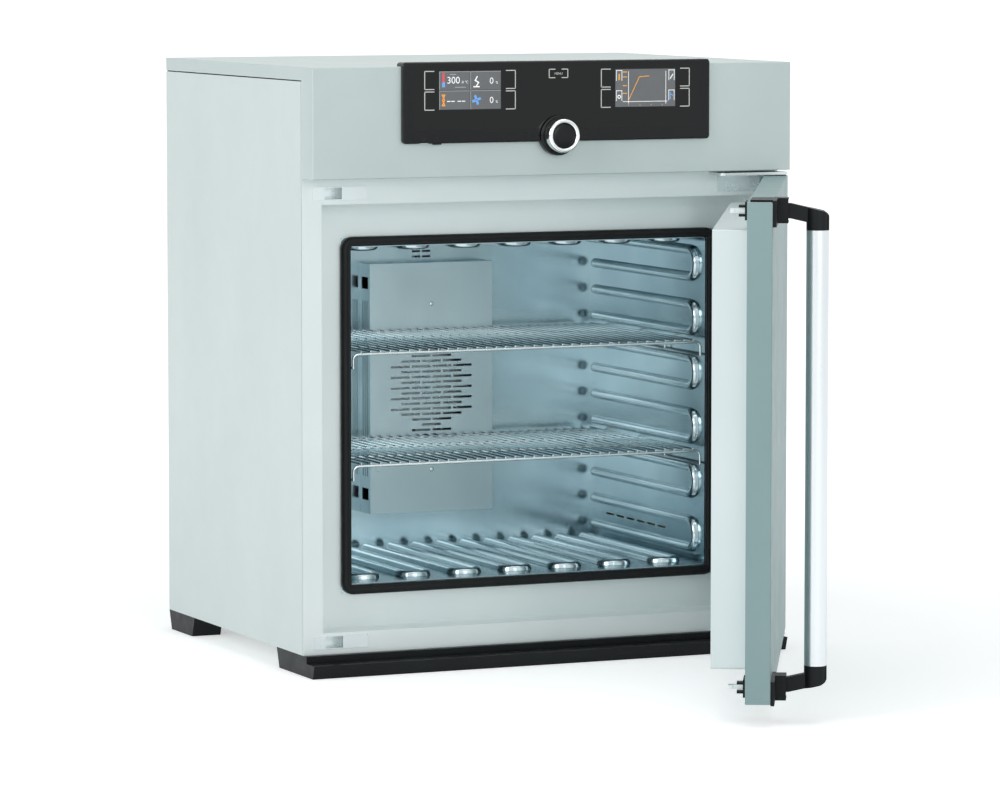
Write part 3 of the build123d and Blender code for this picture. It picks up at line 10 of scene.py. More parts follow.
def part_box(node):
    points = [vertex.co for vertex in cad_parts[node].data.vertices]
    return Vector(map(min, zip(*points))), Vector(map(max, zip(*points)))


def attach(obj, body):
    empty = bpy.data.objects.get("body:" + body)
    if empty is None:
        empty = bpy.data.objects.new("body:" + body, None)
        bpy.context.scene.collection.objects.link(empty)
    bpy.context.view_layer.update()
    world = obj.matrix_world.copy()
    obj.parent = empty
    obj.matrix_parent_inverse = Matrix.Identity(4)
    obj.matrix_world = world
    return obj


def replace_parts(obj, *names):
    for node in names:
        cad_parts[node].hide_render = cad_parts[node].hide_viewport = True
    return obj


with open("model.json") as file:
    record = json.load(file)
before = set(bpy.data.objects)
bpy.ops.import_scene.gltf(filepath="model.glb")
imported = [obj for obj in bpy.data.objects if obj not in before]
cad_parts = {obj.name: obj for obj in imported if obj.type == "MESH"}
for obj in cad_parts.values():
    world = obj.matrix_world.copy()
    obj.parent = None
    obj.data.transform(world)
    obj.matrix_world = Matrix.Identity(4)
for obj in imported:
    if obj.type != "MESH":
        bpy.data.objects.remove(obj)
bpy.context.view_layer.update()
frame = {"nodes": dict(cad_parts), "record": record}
nodes = frame["nodes"]

MM = 0.001
CAMERA_PLACE = (-3.03776, -6.92173, 1.06086)
CAMERA_YAW = 23.989
CAMERA_PITCH = -5.366
CAMERA_LENS = 184.94
SENSOR_WIDTH = 36.0


# Camera
def make_camera():
    data = bpy.data.cameras.new("photo_camera")
    data.lens = CAMERA_LENS
    data.sensor_width = SENSOR_WIDTH
    data.clip_start = 0.1
    data.clip_end = 100
    camera = bpy.data.objects.new("photo_camera", data)
    bpy.context.scene.collection.objects.link(camera)
    camera.location = CAMERA_PLACE
    camera.rotation_euler = (math.radians(90 + CAMERA_PITCH), 0, -math.radians(CAMERA_YAW))
    bpy.context.scene.camera = camera


# Materials
class Paint:
    """One material with its shader, and short ways to add texture nodes to it."""

    def __init__(self, name, color, metallic=0.0, roughness=0.5, **sockets):
        self.material = bpy.data.materials.new(name)
        self.material.use_nodes = True
        self.tree = self.material.node_tree
        self.shader = self.tree.nodes["Principled BSDF"]
        self.color = (*color, 1)
        self.put("Base Color", self.color)
        self.put("Metallic", metallic)
        self.put("Roughness", roughness)
        for socket, value in sockets.items():
            self.put(socket.replace("_", " "), value)
        self.place = self.tree.nodes.new("ShaderNodeTexCoord").outputs["Object"]
        self.height = None

    def put(self, socket, value):
        self.shader.inputs[socket].default_value = value

    def noise(self, scale, stretch=(1, 1, 1), detail=3.0):
        mapping = self.tree.nodes.new("ShaderNodeMapping")
        mapping.inputs["Scale"].default_value = stretch
        texture = self.tree.nodes.new("ShaderNodeTexNoise")
        texture.inputs["Scale"].default_value = scale
        texture.inputs["Detail"].default_value = detail
        self.tree.links.new(self.place, mapping.inputs["Vector"])
        self.tree.links.new(mapping.outputs[0], texture.inputs["Vector"])
        return texture.outputs["Fac"]

    def cells(self, scale):
        texture = self.tree.nodes.new("ShaderNodeTexVoronoi")
        texture.inputs["Scale"].default_value = scale
        self.tree.links.new(self.place, texture.inputs["Vector"])
        return texture.outputs["Distance"]

    def ramp(self, value, low, high, start=0.3, end=0.7):
        """A number that runs from low to high as the texture's value runs from start to end."""
        node = self.tree.nodes.new("ShaderNodeMapRange")
        node.inputs["From Min"].default_value = start
        node.inputs["From Max"].default_value = end
        node.inputs["To Min"].default_value = low
        node.inputs["To Max"].default_value = high
        self.tree.links.new(value, node.inputs["Value"])
        return node.outputs["Result"]

    def tint(self, value, other, start=0.35, end=0.65):
        """The base colour varies from its own to another."""
        mix = self.tree.nodes.new("ShaderNodeMix")
        mix.data_type = "RGBA"
        mix.inputs["A"].default_value = self.color
        mix.inputs["B"].default_value = (*other, 1)
        self.tree.links.new(self.ramp(value, 0, 1, start, end), mix.inputs["Factor"])
        self.tree.links.new(mix.outputs["Result"], self.shader.inputs["Base Color"])
        return self

    def vary_roughness(self, value, low, high):
        self.tree.links.new(self.ramp(value, low, high), self.shader.inputs["Roughness"])
        return self

    def bump(self, value, strength, distance):
        node = self.tree.nodes.new("ShaderNodeBump")
        node.inputs["Strength"].default_value = strength
        node.inputs["Distance"].default_value = distance
        self.tree.links.new(value, node.inputs["Height"])
        if self.height is not None:
            self.tree.links.new(self.height, node.inputs["Normal"])
        self.height = node.outputs["Normal"]
        self.tree.links.new(self.height, self.shader.inputs["Normal"])
        return self


def structured_steel(name, color, darker):
    """Stainless sheet with a fine rolled-in texture."""
    paint = Paint(name, color, metallic=0.28, roughness=0.46)
    paint.tint(paint.noise(5, (1, 1, 0.4)), darker)
    paint.vary_roughness(paint.noise(30), 0.42, 0.52)
    paint.bump(paint.cells(520), 0.22, 0.0002)
    return paint.bump(paint.noise(900, detail=2), 0.12, 0.0002).material


def smooth_steel(name, color, darker):
    paint = Paint(name, color, metallic=0.3, roughness=0.36)
    paint.tint(paint.noise(4), darker)
    paint.vary_roughness(paint.noise(18), 0.32, 0.42)
    return paint.bump(paint.noise(240, (1, 1, 0.2)), 0.05, 0.0002).material


def polished_steel(name, color, darker, roughness, stretch=(1, 1, 12)):
    """Bright drawn sheet with fine draw lines and faint smudges."""
    paint = Paint(name, color, metallic=1.0, roughness=roughness)
    paint.tint(paint.noise(9, (1, 1, 0.6), 5), darker)
    paint.vary_roughness(paint.noise(14, detail=5), roughness * 0.8, roughness * 1.25)
    return paint.bump(paint.noise(220, stretch, 2), 0.06, 0.0002).material


def plain_metal(name, color, roughness):
    paint = Paint(name, color, metallic=1.0, roughness=roughness)
    paint.vary_roughness(paint.noise(60), roughness * 0.85, roughness * 1.2)
    return paint.bump(paint.noise(600, (1, 1, 0.1)), 0.06, 0.0001).material


def brushed_tube(name, color):
    paint = Paint(name, color, metallic=1.0, roughness=0.3)
    paint.tint(paint.noise(3, (1, 1, 0.3)), tuple(0.94 * c for c in color))
    paint.vary_roughness(paint.noise(300, (1, 1, 0.02)), 0.26, 0.36)
    return paint.bump(paint.noise(900, (1, 1, 0.01)), 0.08, 0.0001).material


def moulded_plastic(name, color, roughness, grain):
    paint = Paint(name, color, roughness=roughness, Specular_IOR_Level=0.2)
    paint.tint(paint.noise(12), tuple(1.4 * c for c in color))
    paint.vary_roughness(paint.noise(40), roughness * 0.85, roughness * 1.15)
    return paint.bump(paint.noise(grain, detail=2), 0.12, 0.0002).material


def gloss_black(name, color, roughness):
    paint = Paint(name, color, roughness=roughness, Specular_IOR_Level=0.28)
    paint.vary_roughness(paint.noise(25), roughness * 0.8, roughness * 1.3)
    return paint.bump(paint.noise(5, detail=1), 0.03, 0.001).material


def mineral_wool(name):
    paint = Paint(name, (0.72, 0.63, 0.38), roughness=0.95)
    paint.tint(paint.noise(45, (1, 1, 3), 8), (0.5, 0.4, 0.2))
    return paint.bump(paint.noise(160, (1, 3, 1), 8), 0.8, 0.002).material


def circuit_board(name):
    paint = Paint(name, (0.03, 0.16, 0.07), roughness=0.35)
    paint.tint(paint.cells(160), (0.10, 0.32, 0.14), 0.1, 0.2)
    return paint.bump(paint.cells(160), 0.2, 0.0002).material


def screen(name, color, glow):
    """A lit screen face with a faint unevenness of its backlight."""
    paint = Paint(name, color, roughness=0.18, Emission_Color=(*color, 1), Emission_Strength=glow)
    return paint.tint(paint.noise(30), tuple(1.15 * c for c in color)).material


def printed(name, color, glow=0.0):
    paint = Paint(name, color, roughness=0.4, Emission_Color=(*color, 1), Emission_Strength=glow)
    return paint.tint(paint.noise(200), tuple(0.9 * c for c in color)).material


def make_materials():
    pale = (0.70, 0.78, 0.77)
    return {
        "casing_steel": structured_steel("casing_steel", pale, (0.66, 0.745, 0.735)),
        # Painted shade: the door's outer face is the casing's steel, with shade painted into its colour as a
        # darker green-grey
        "shaded_door_steel": structured_steel("shaded_door_steel", (0.27, 0.38, 0.385), (0.24, 0.35, 0.355)),
        "fascia_steel": structured_steel("fascia_steel", (0.60, 0.69, 0.68), (0.565, 0.655, 0.645)),
        "textured_steel": structured_steel("textured_steel", (0.62, 0.70, 0.69), (0.575, 0.655, 0.645)),
        "frame_steel": smooth_steel("frame_steel", (0.84, 0.90, 0.895), (0.79, 0.86, 0.86)),
        "polished_steel": polished_steel("polished_steel", (0.50, 0.62, 0.66), (0.42, 0.54, 0.59), 0.2),
        "cover_steel": polished_steel("cover_steel", (0.60, 0.72, 0.755), (0.55, 0.67, 0.705), 0.34),
        "plug_steel": smooth_steel("plug_steel", (0.72, 0.79, 0.80), (0.68, 0.76, 0.77)),
        "rib_steel": polished_steel("rib_steel", (0.60, 0.70, 0.73), (0.50, 0.61, 0.65), 0.16, (1, 1, 1)),
        "plain_steel": plain_metal("plain_steel", (0.62, 0.68, 0.69), 0.3),
        "wire_steel": plain_metal("wire_steel", (0.74, 0.80, 0.81), 0.14),
        "brushed_tube": brushed_tube("brushed_tube", (0.72, 0.76, 0.78)),
        "heater_metal": plain_metal("heater_metal", (0.2, 0.19, 0.18), 0.45),
        "dark_metal": moulded_plastic("dark_metal", (0.05, 0.05, 0.055), 0.35, 500),
        "chrome_trim": plain_metal("chrome_trim", (0.82, 0.84, 0.84), 0.08),
        "black_plastic": moulded_plastic("black_plastic", (0.005, 0.0068, 0.0078), 0.42, 1200),
        "black_rubber": moulded_plastic("black_rubber", (0.007, 0.008, 0.0085), 0.42, 700),
        "black_gloss": gloss_black("black_gloss", (0.003, 0.0042, 0.005), 0.22),
        "dark_glass": gloss_black("dark_glass", (0.003, 0.004, 0.0045), 0.08),
        "display_face": screen("display_face", (0.06, 0.065, 0.07), 0.4),
        "mineral_wool": mineral_wool("mineral_wool"),
        "circuit_board": circuit_board("circuit_board"),
        "tile": screen("tile", (0.11, 0.115, 0.12), 0.4),
        "print_white": printed("print_white", (0.62, 0.62, 0.60), 0.2),
        "lit_white": printed("lit_white", (0.75, 0.77, 0.77), 0.6),
        "lit_grey": printed("lit_grey", (0.38, 0.40, 0.40), 0.4),
        "lit_orange": printed("lit_orange", (0.78, 0.36, 0.05), 0.5),
        "lit_red": printed("lit_red", (0.65, 0.08, 0.10), 0.4),
        "lit_blue": printed("lit_blue", (0.14, 0.34, 0.70), 0.5),
    }


# Mesh helpers
def new_piece(name, mesh, body, slot, material=None, smooth=True):
    obj = bpy.data.objects.new(name, mesh)
    bpy.context.scene.collection.objects.link(obj)
    for polygon in mesh.polygons:
        polygon.use_smooth = smooth
    mesh.materials.append(materials[material or slot])
    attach(obj, body)
    return obj


def mesh_from(name, vertices, faces):
    mesh = bpy.data.meshes.new(name)
    mesh.from_pydata([tuple(v) for v in vertices], [], faces)
    mesh.validate()
    work = bmesh.new()
    work.from_mesh(mesh)
    bmesh.ops.remove_doubles(work, verts=work.verts, dist=1e-6)
    bmesh.ops.recalc_face_normals(work, faces=work.faces)
    work.to_mesh(mesh)
    work.free()
    return mesh


def joined(name, parts):
    """One mesh from several (vertices, faces) parts."""
    vertices, faces = [], []
    for part_vertices, part_faces in parts:
        start = len(vertices)
        vertices += part_vertices
        faces += [[start + index for index in face] for face in part_faces]
    return mesh_from(name, vertices, faces)


def loft(rings, closed_path=False):
    """Skin between rings of points, with flat ends unless the path closes on itself."""
    size = len(rings[0])
    vertices = [point for ring in rings for point in ring]
    faces = []
    steps = len(rings) if closed_path else len(rings) - 1
    for step in range(steps):
        here, there = step * size, (step + 1) % len(rings) * size
        for index in range(size):
            after = (index + 1) % size
            faces.append([here + index, here + after, there + after, there + index])
    if not closed_path:
        faces.append(list(range(size))[::-1])
        faces.append([(len(rings) - 1) * size + index for index in range(size)])
    return vertices, faces


def wire(points, radius, sides=10):
    """A round bar along points, with rounded tips."""
    points = [Vector(point) for point in points]
    along = [(points[1] - points[0]).normalized()]
    for before, after in zip(points, points[2:]):
        along.append((after - before).normalized())
    along.append((points[-1] - points[-2]).normalized())
    reference = Vector((0, 0, 1)) if abs(along[0].z) < 0.9 else Vector((0, 1, 0))
    across = along[0].cross(reference).normalized()
    rings = []
    for index, (point, direction) in enumerate(zip(points, along)):
        across = (across - direction * across.dot(direction)).normalized()
        up = direction.cross(across)
        ends = [(0.35, 0.0), (0.8, 0.25), (1.0, 0.6)] if index == 0 else [(1.0, 0.0)]
        if index == len(points) - 1:
            ends = [(1.0, -0.6), (0.8, -0.25), (0.35, 0.0)]
        for scale, shift in ends:
            centre = point + direction * (shift * radius)
            ring = []
            for side in range(sides):
                turn = math.tau * side / sides
                offset = across * math.cos(turn) + up * math.sin(turn)
                ring.append(centre + offset * (radius * scale))
            rings.append(ring)
    return loft(rings)


def arc(centre, radius, start, end, steps):
    """Points of an arc in a plane, with angles in degrees."""
    turns = [math.radians(start + (end - start) * step / steps) for step in range(steps + 1)]
    return [(centre[0] + radius * math.cos(t), centre[1] + radius * math.sin(t)) for t in turns]


def lathe(profile, x, z, segments=64):
    """A ring turned about an axis along Y, from a closed profile of (radius, y)."""
    rings = []
    for segment in range(segments):
        turn = math.tau * segment / segments
        rings.append([Vector((x + r * math.cos(turn), y, z + r * math.sin(turn))) for r, y in profile])
    return loft(rings, closed_path=True)


def turned_solid(profile, x, z, segments=64):
    """A solid turned about an axis along Y, from an open profile of (radius, y) with small end radii."""
    rings = []
    for r, y in profile:
        ring = []
        for segment in range(segments):
            turn = math.tau * segment / segments
            ring.append(Vector((x + r * math.cos(turn), y, z + r * math.sin(turn))))
        rings.append(ring)
    return loft(rings)


def bar_between(start, end, width, y_back, thickness):
    """A flat stroke between two (x, z) points, standing thickness in front of y_back."""
    a, b = Vector(start), Vector(end)
    along = (b - a).normalized() * (width / 2)
    across = Vector((-along.y, along.x))
    corners = [a - along - across, b + along - across, b + along + across, a - along + across]
    front = [Vector((c.x, y_back - thickness, c.y)) for c in corners]
    back = [Vector((c.x, y_back, c.y)) for c in corners]
    return loft([back, front])


def strokes(name, lines, width, y_back, body, material, slot, thickness=0.12 * MM):
    parts = []
    for line in lines:
        for start, end in zip(line, line[1:]):
            parts.append(bar_between(start, end, width, y_back, thickness))
    return new_piece(name, joined(name, parts), body, slot, material, smooth=False)


def plate(x_range, z_range, y_back, thickness):
    left, right = x_range
    low, high = z_range
    corners = [(left, low), (right, low), (right, high), (left, high)]
    return loft([[Vector((x, y, z)) for x, z in corners] for y in (y_back, y_back - thickness)])


def centre_of(node):
    low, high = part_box(node)
    return (Vector(low) + Vector(high)) / 2


# Carried-over pieces
BEVELS = {
    "front_plinth": 1.5, "rear_feet": 1.5, "left_side_panel": 0.4, "right_side_panel": 0.4, "lid": 0.5,
    "face_frame": 0.3, "door_recess": 0.4, "fan_cover": 0.5, "strike_plates": 0.3, "hinge_brackets": 0.5,
    "door_inner_panel": 0.5, "latch_housings": 0.6, "latch_hooks": 0.5, "handle_levers": 1.6,
    "corner_guards": 0.8, "mains_inlet": 0.4, "network_port": 0.3, "power_key": 0.4, "cockpit_housing": 0.3,
}


# The door outer panel takes a steel whose colour holds painted shade
FINISHES = {
    "fan_cover": "cover_steel", "door_inner_panel": "plug_steel", "door_outer_panel": "shaded_door_steel",
    "fascia": "fascia_steel", "lid": "fascia_steel",
}


def dress_nodes():
    slots = {part["node"]: part["material_slot"] for part in frame["record"]["subparts"]}
    for name, node in nodes.items():
        node.data.materials.clear()
        node.data.materials.append(materials[FINISHES.get(name, slots[name])])
        if name in BEVELS:
            bevel = node.modifiers.new("edge", "BEVEL")
            bevel.width = BEVELS[name] * MM
            bevel.segments = 2
            bevel.limit_method = "ANGLE"
            bevel.angle_limit = math.radians(40)
            bevel.harden_normals = False


# Chamber ribs
RIB_WIDTH = 13 * MM
RIB_RISE = 8.5 * MM
RIB_LEG_SPACING = 40 * MM
RIB_PITCH = 80 * MM
RIB_REAR_GAP = 18 * MM
SIDE_RIB_SETBACK = 19 * MM
LEVEL_RIB_SETBACK = 34 * MM
CHAMBER_SIDE = 280 * MM
CHAMBER_FLOOR = 121 * MM
CHAMBER_TOP = 601 * MM
CHAMBER_FRONT = -202.4 * MM
CHAMBER_DEPTH = 400 * MM


def rib_section(scale):
    """(across, rise) points of a rounded bead with a small fillet to the wall."""
    half = RIB_WIDTH / 2
    points = [(-half * 1.12, 0)]
    for step in range(11):
        turn = math.pi * step / 10
        rise = RIB_RISE * scale * (0.12 + 0.88 * math.sin(turn) ** 0.8)
        points.append((-half * math.cos(turn), rise))
    points.append((half * 1.12, 0))
    return points


def hairpin(setback):
    """A bead up one leg, round the nose and back, as rings of (along, across, rise)."""
    half_spacing = RIB_LEG_SPACING / 2
    nose = setback + half_spacing + RIB_WIDTH / 2
    end = CHAMBER_DEPTH - RIB_REAR_GAP
    leg = [(end, 0.02), (end - 1.5 * MM, 0.55), (end - 5 * MM, 0.93), (end - 9 * MM, 1.0)]
    rings = []
    for u, scale in leg:
        rings.append([(u, -half_spacing + v, w) for v, w in rib_section(scale)])
    steps = 18
    for step in range(steps + 1):
        turn = math.pi * step / steps
        outward = Vector((-math.sin(turn), -math.cos(turn)))
        ring = []
        for v, w in rib_section(1.0):
            reach = half_spacing - v
            ring.append((nose + outward.x * reach, outward.y * reach, w))
        rings.append(ring)
    for u, scale in leg[::-1]:
        rings.append([(u, half_spacing - v, w) for v, w in rib_section(scale)])
    return rings


def rib_set(node, setback, count, to_world):
    parts = []
    for index in range(count):
        offset = RIB_PITCH * (index - (count - 1) / 2)
        rings = [[to_world(u, v + offset, w) for u, v, w in ring] for ring in hairpin(setback)]
        parts.append(loft(rings))
    piece = new_piece(node + "_beads", joined(node, parts), "cabinet", "polished_steel", "rib_steel")
    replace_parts(piece, node)


def make_ribs():
    middle_z = (CHAMBER_FLOOR + CHAMBER_TOP) / 2
    rib_set("left_wall_ribs", SIDE_RIB_SETBACK, 6,
            lambda u, v, w: Vector((w - CHAMBER_SIDE, CHAMBER_FRONT + u, middle_z + v)))
    rib_set("right_wall_ribs", SIDE_RIB_SETBACK, 6,
            lambda u, v, w: Vector((CHAMBER_SIDE - w, CHAMBER_FRONT + u, middle_z + v)))
    rib_set("floor_ribs", LEVEL_RIB_SETBACK, 7,
            lambda u, v, w: Vector((v, CHAMBER_FRONT + u, CHAMBER_FLOOR + w)))
    rib_set("ceiling_ribs", LEVEL_RIB_SETBACK, 7,
            lambda u, v, w: Vector((v, CHAMBER_FRONT + u, CHAMBER_TOP - w)))


# Small fittings
SCREW_BELOW_TOP = 62 * MM
SCREW_ABOVE_BOTTOM = 64 * MM


def make_screws():
    """Two small round-headed screws on the front of the fan cover."""
    low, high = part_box("fan_cover")
    parts = []
    middle_x = (low[0] + high[0]) / 2
    for x, z in ((middle_x, high[2] - SCREW_BELOW_TOP), (middle_x, low[2] + SCREW_ABOVE_BOTTOM)):
        head = [(0.1, -1.5), (2.2, -1.4), (3.2, -0.9), (3.6, 0.0), (0.1, 0.0)]
        profile = [(r * MM, low[1] + y * MM) for r, y in head]
        parts.append(turned_solid(profile, x, z, 24))
    new_piece("cover_screws", joined("cover_screws", parts), "cabinet", "plain_steel", "chrome_trim")


# Shelves
FRAME_WIRE = 2.0 * MM
GRID_WIRE = 1.3 * MM
GRID_PITCH = 15.0 * MM
GRID_MARGIN = 13.5 * MM
WIRE_BEND = 8.0 * MM
CROSS_WIRES = 4


def shelf(body):
    low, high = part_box(body)
    rail_x = high[0] - FRAME_WIRE
    rail_z = low[2] + FRAME_WIRE
    grid_z = high[2] - GRID_WIRE
    cross_z = grid_z - GRID_WIRE - FRAME_WIRE
    first, last = low[1] + FRAME_WIRE, high[1] - FRAME_WIRE
    left_bend = arc((-rail_x + WIRE_BEND, cross_z - WIRE_BEND), WIRE_BEND, 180, 90, 6)
    right_bend = arc((rail_x - WIRE_BEND, cross_z - WIRE_BEND), WIRE_BEND, 90, 0, 6)
    outline = [(-rail_x, rail_z)] + left_bend + right_bend + [(rail_x, rail_z)]
    parts = []
    for index in range(CROSS_WIRES):
        y = first + (last - first) * index / (CROSS_WIRES - 1)
        parts.append(wire([(x, y, z) for x, z in outline], FRAME_WIRE))
    for x in (-rail_x, rail_x):
        parts.append(wire([(x, low[1], rail_z), (x, high[1], rail_z)], FRAME_WIRE))
    count = round(2 * (rail_x - GRID_MARGIN + FRAME_WIRE) / GRID_PITCH) + 1
    for index in range(count):
        x = GRID_PITCH * (index - (count - 1) / 2)
        parts.append(wire([(x, low[1], grid_z), (x, high[1], grid_z)], GRID_WIRE, 8))
    piece = new_piece(body + "_wires", joined(body, parts), body, "wire_steel")
    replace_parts(piece, body)


# Door seal
GASKET_WIDTH = 13.6 * MM
GASKET_CORNER = 17 * MM


def make_gasket():
    low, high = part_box("gasket")
    width, corner = GASKET_WIDTH, GASKET_CORNER
    depth = high[1] - low[1]
    half_x, half_z = high[0], (high[2] - low[2]) / 2
    middle_z = (high[2] + low[2]) / 2
    section = [(0, 0), (0, 0.45), (0.06, 0.72), (0.2, 0.92), (0.42, 1.0), (0.6, 0.96)]
    section += [(0.7, 0.86), (0.76, 0.93), (0.86, 0.96), (0.96, 0.8), (1, 0.5), (1, 0)]
    corners = [(half_x - corner, half_z - corner, 0), (corner - half_x, half_z - corner, 90),
               (corner - half_x, corner - half_z, 180), (half_x - corner, corner - half_z, 270)]
    rings = []
    for cx, cz, start in corners:
        for step in range(9):
            turn = math.radians(start + 90 * step / 8)
            ring = []
            for inset, rise in section:
                reach = corner - inset * width
                x, z = cx + reach * math.cos(turn), cz + reach * math.sin(turn)
                ring.append(Vector((x, high[1] - rise * depth, middle_z + z)))
            rings.append(ring)
    piece = new_piece("gasket_profile", joined("gasket", [loft(rings, True)]), "cabinet", "black_rubber")
    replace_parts(piece, "gasket")


# Knob
KNOB_Z = 758.5 * MM


def make_knob():
    collar = [(22.1, -292), (28.5, -292), (28.5, -301.6), (28.2, -302.4), (27.4, -302.9), (26.4, -303)]
    collar += [(22.6, -303), (22.1, -302.5)]
    ring = [(17.5, -303.3), (21, -303.3), (23.6, -303.3), (24.4, -304.2), (24.5, -305.5), (24.5, -316.2)]
    ring += [(24.3, -318.4), (23.7, -320.2), (22.7, -321.4), (21.4, -322), (19.9, -321.9), (18.7, -321.2)]
    ring += [(17.9, -320), (17.5, -318.4)]
    neck = [(19, -303.4), (21, -303.4), (21, -294.3), (19, -294.3)]
    button = [(0.2, -320), (8, -319.9), (13.5, -319.55), (16.2, -319.1), (17, -318.5), (17.2, -317.6)]
    button += [(17.2, -315), (4, -315), (4, -285), (0.2, -285)]
    collar_parts = [lathe(scaled(collar), 0, KNOB_Z)]
    ring_parts = [lathe(scaled(ring), 0, KNOB_Z), lathe(scaled(neck), 0, KNOB_Z)]
    button_parts = [turned_solid(scaled(button), 0, KNOB_Z)]
    pieces = [
        ("knob_collar_ring", "knob_collar", "cabinet", "black_gloss", collar_parts),
        ("knob_ring_body", "knob_ring", "knob_ring", "chrome_trim", ring_parts),
        ("knob_button_cap", "knob_button", "knob_button", "black_gloss", button_parts),
    ]
    for name, node, body, slot, parts in pieces:
        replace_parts(new_piece(name, joined(name, parts), body, slot), node)


def scaled(profile):
    return [(r * MM, y * MM) for r, y in profile]


# Control module
GLASS_FRONT = -299.0 * MM
SCREEN_FRONT = -298.8 * MM
STROKE = 1.3 * MM
KEY_LENGTH = 14 * MM
KEY_HEIGHT = 25.4 * MM
KEY_GAP = 3.4 * MM
KEY_CLEARANCE = 8 * MM


def bracket_keys(hand_x, half_width, middle_z):
    """Open brackets for the touch keys at both sides of a screen."""
    lines = []
    for side in (-1, 1):
        inner = hand_x + side * (half_width + KEY_CLEARANCE)
        outer = inner + side * KEY_LENGTH
        for row in (-1, 1):
            low = middle_z + row * (KEY_HEIGHT + KEY_GAP) / 2 - KEY_HEIGHT / 2
            high = low + KEY_HEIGHT
            lines.append([(inner, high), (outer, high), (outer, low), (inner, low)])
    return lines


def label(name, text, size, x, z, material, y_back=SCREEN_FRONT, align="LEFT"):
    curve = bpy.data.curves.new(name, "FONT")
    curve.body = text
    curve.size = size
    curve.align_x = align
    curve.extrude = 0.05 * MM
    curve.materials.append(materials[material])
    obj = bpy.data.objects.new(name, curve)
    bpy.context.scene.collection.objects.link(obj)
    upright = Matrix.Rotation(math.radians(90), 4, "X")
    obj.matrix_world = Matrix.Translation((x, y_back - 0.2 * MM, z)) @ upright
    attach(obj, "cabinet")
    return obj


def ink(name, lines, width, material, thickness=0.12 * MM):
    """Strokes printed in light on a display's face."""
    return strokes(name, lines, width, SCREEN_FRONT, "cabinet", material, "display_face", thickness)


def from_corner(corner, lines):
    """Lines given in millimetres from a tile's lower left corner."""
    return [[(corner[0] + u * MM, corner[1] + v * MM) for u, v in line] for line in lines]


def make_screens():
    for name, node in (("left", "left_display"), ("right", "right_display")):
        low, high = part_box(node)
        half = (high[0] - low[0]) / 2
        middle = centre_of(node)
        keys = bracket_keys(middle.x, half, middle.z)
        strokes(name + "_keys", keys, STROKE, GLASS_FRONT, "cabinet", "print_white", "dark_glass")
    menu_z, menu_half, menu_rise = 846 * MM, 14.5 * MM, 6 * MM
    menu = []
    for side in (-1, 1):
        inner, outer = side * 5.5 * MM, side * menu_half
        menu.append([(inner, menu_z + menu_rise), (outer, menu_z + menu_rise), (outer, menu_z - menu_rise),
                     (inner, menu_z - menu_rise)])
    strokes("menu_key", menu, STROKE, GLASS_FRONT, "cabinet", "print_white", "dark_glass")
    label("menu_word", "MENU", 4.6 * MM, 0, menu_z - 1.7 * MM, "print_white", GLASS_FRONT, "CENTER")
    left_screen()
    right_screen()


def left_screen():
    low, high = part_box("left_display")
    margin, gap = 0.8 * MM, 1.6 * MM
    width = (high[0] - low[0] - 2 * margin - gap) / 2
    height = (high[2] - low[2] - 2 * margin - gap) / 2
    tiles, borders = [], []
    places = {}
    for column in (0, 1):
        for row in (0, 1):
            x = low[0] + margin + column * (width + gap)
            z = low[2] + margin + row * (height + gap)
            places[column, row] = (x, z)
            tiles.append(plate((x, x + width), (z, z + height), SCREEN_FRONT, 0.06 * MM))
            borders.append([(x, z), (x, z + height), (x + width, z + height)])
    new_piece("screen_tiles", joined("screen_tiles", tiles), "cabinet", "display_face", "tile", smooth=False)
    ink("tile_edges", borders, 0.6 * MM, "lit_grey", 0.1 * MM)
    x, z = places[0, 1]
    label("set_temperature", "300", 13.5 * MM, x + 11 * MM, z + 9 * MM, "lit_white")
    label("set_temperature_unit", ".0 °C", 5.2 * MM, x + 33 * MM, z + 9 * MM, "lit_white")
    icon = (x + 6 * MM, z + 6 * MM)
    ink("thermometer_top", from_corner(icon, [[(0, 5), (0, 16)]]), 3.6 * MM, "lit_red", 0.14 * MM)
    ink("thermometer_foot", from_corner(icon, [[(0, 0), (0, 2.5)]]), 4.4 * MM, "lit_blue", 0.15 * MM)
    small = from_corner((x, z), [[(24, 3.6), (40, 3.6)], [(16, 21.5), (25, 21.5)]])
    ink("small_print", small, 0.9 * MM, "lit_grey")
    x, z = places[1, 1]
    flap = [[(5, 4), (13, 4)], [(9, 5), (12, 10)], [(12, 10), (7, 13)], [(7, 13), (10, 18)]]
    ink("flap_icon", from_corner((x, z), flap), 1.7 * MM, "lit_white", 0.14 * MM)
    label("flap_number", "0", 12.5 * MM, x + 29 * MM, z + 8 * MM, "lit_white")
    label("flap_unit", "%", 5 * MM, x + 38.5 * MM, z + 8 * MM, "lit_white")
    timer = [
        [(4, 5), (8, 5)],
        [(4, 20), (8, 20)],
        [(4.5, 19), (7.5, 12.5)],
        [(7.5, 19), (4.5, 12.5)],
        [(4.5, 12.5), (7.5, 6)],
        [(7.5, 12.5), (4.5, 6)],
    ]
    ink("timer_icon", from_corner(places[0, 0], timer), 1.5 * MM, "lit_orange", 0.14 * MM)
    dashes = [[(dash, 11), (dash + 4, 11)] for dash in (12, 18.5, 28, 34.5)]
    ink("timer_dashes", from_corner(places[0, 0], dashes), 1.3 * MM, "lit_white", 0.14 * MM)
    x, z = places[1, 0]
    centre = Vector((x + 9 * MM, z + 12.5 * MM))
    blades = []
    for blade in range(4):
        turn = math.radians(90 * blade + 20)
        out = Vector((math.cos(turn), math.sin(turn)))
        blades.append([tuple(centre + out * 2.6 * MM), tuple(centre + out * 5.2 * MM)])
    ink("fan_icon", blades, 3.6 * MM, "lit_blue", 0.14 * MM)
    label("fan_number", "0", 12.5 * MM, x + 29 * MM, z + 8 * MM, "lit_white")
    label("fan_unit", "%", 5 * MM, x + 38.5 * MM, z + 8 * MM, "lit_white")


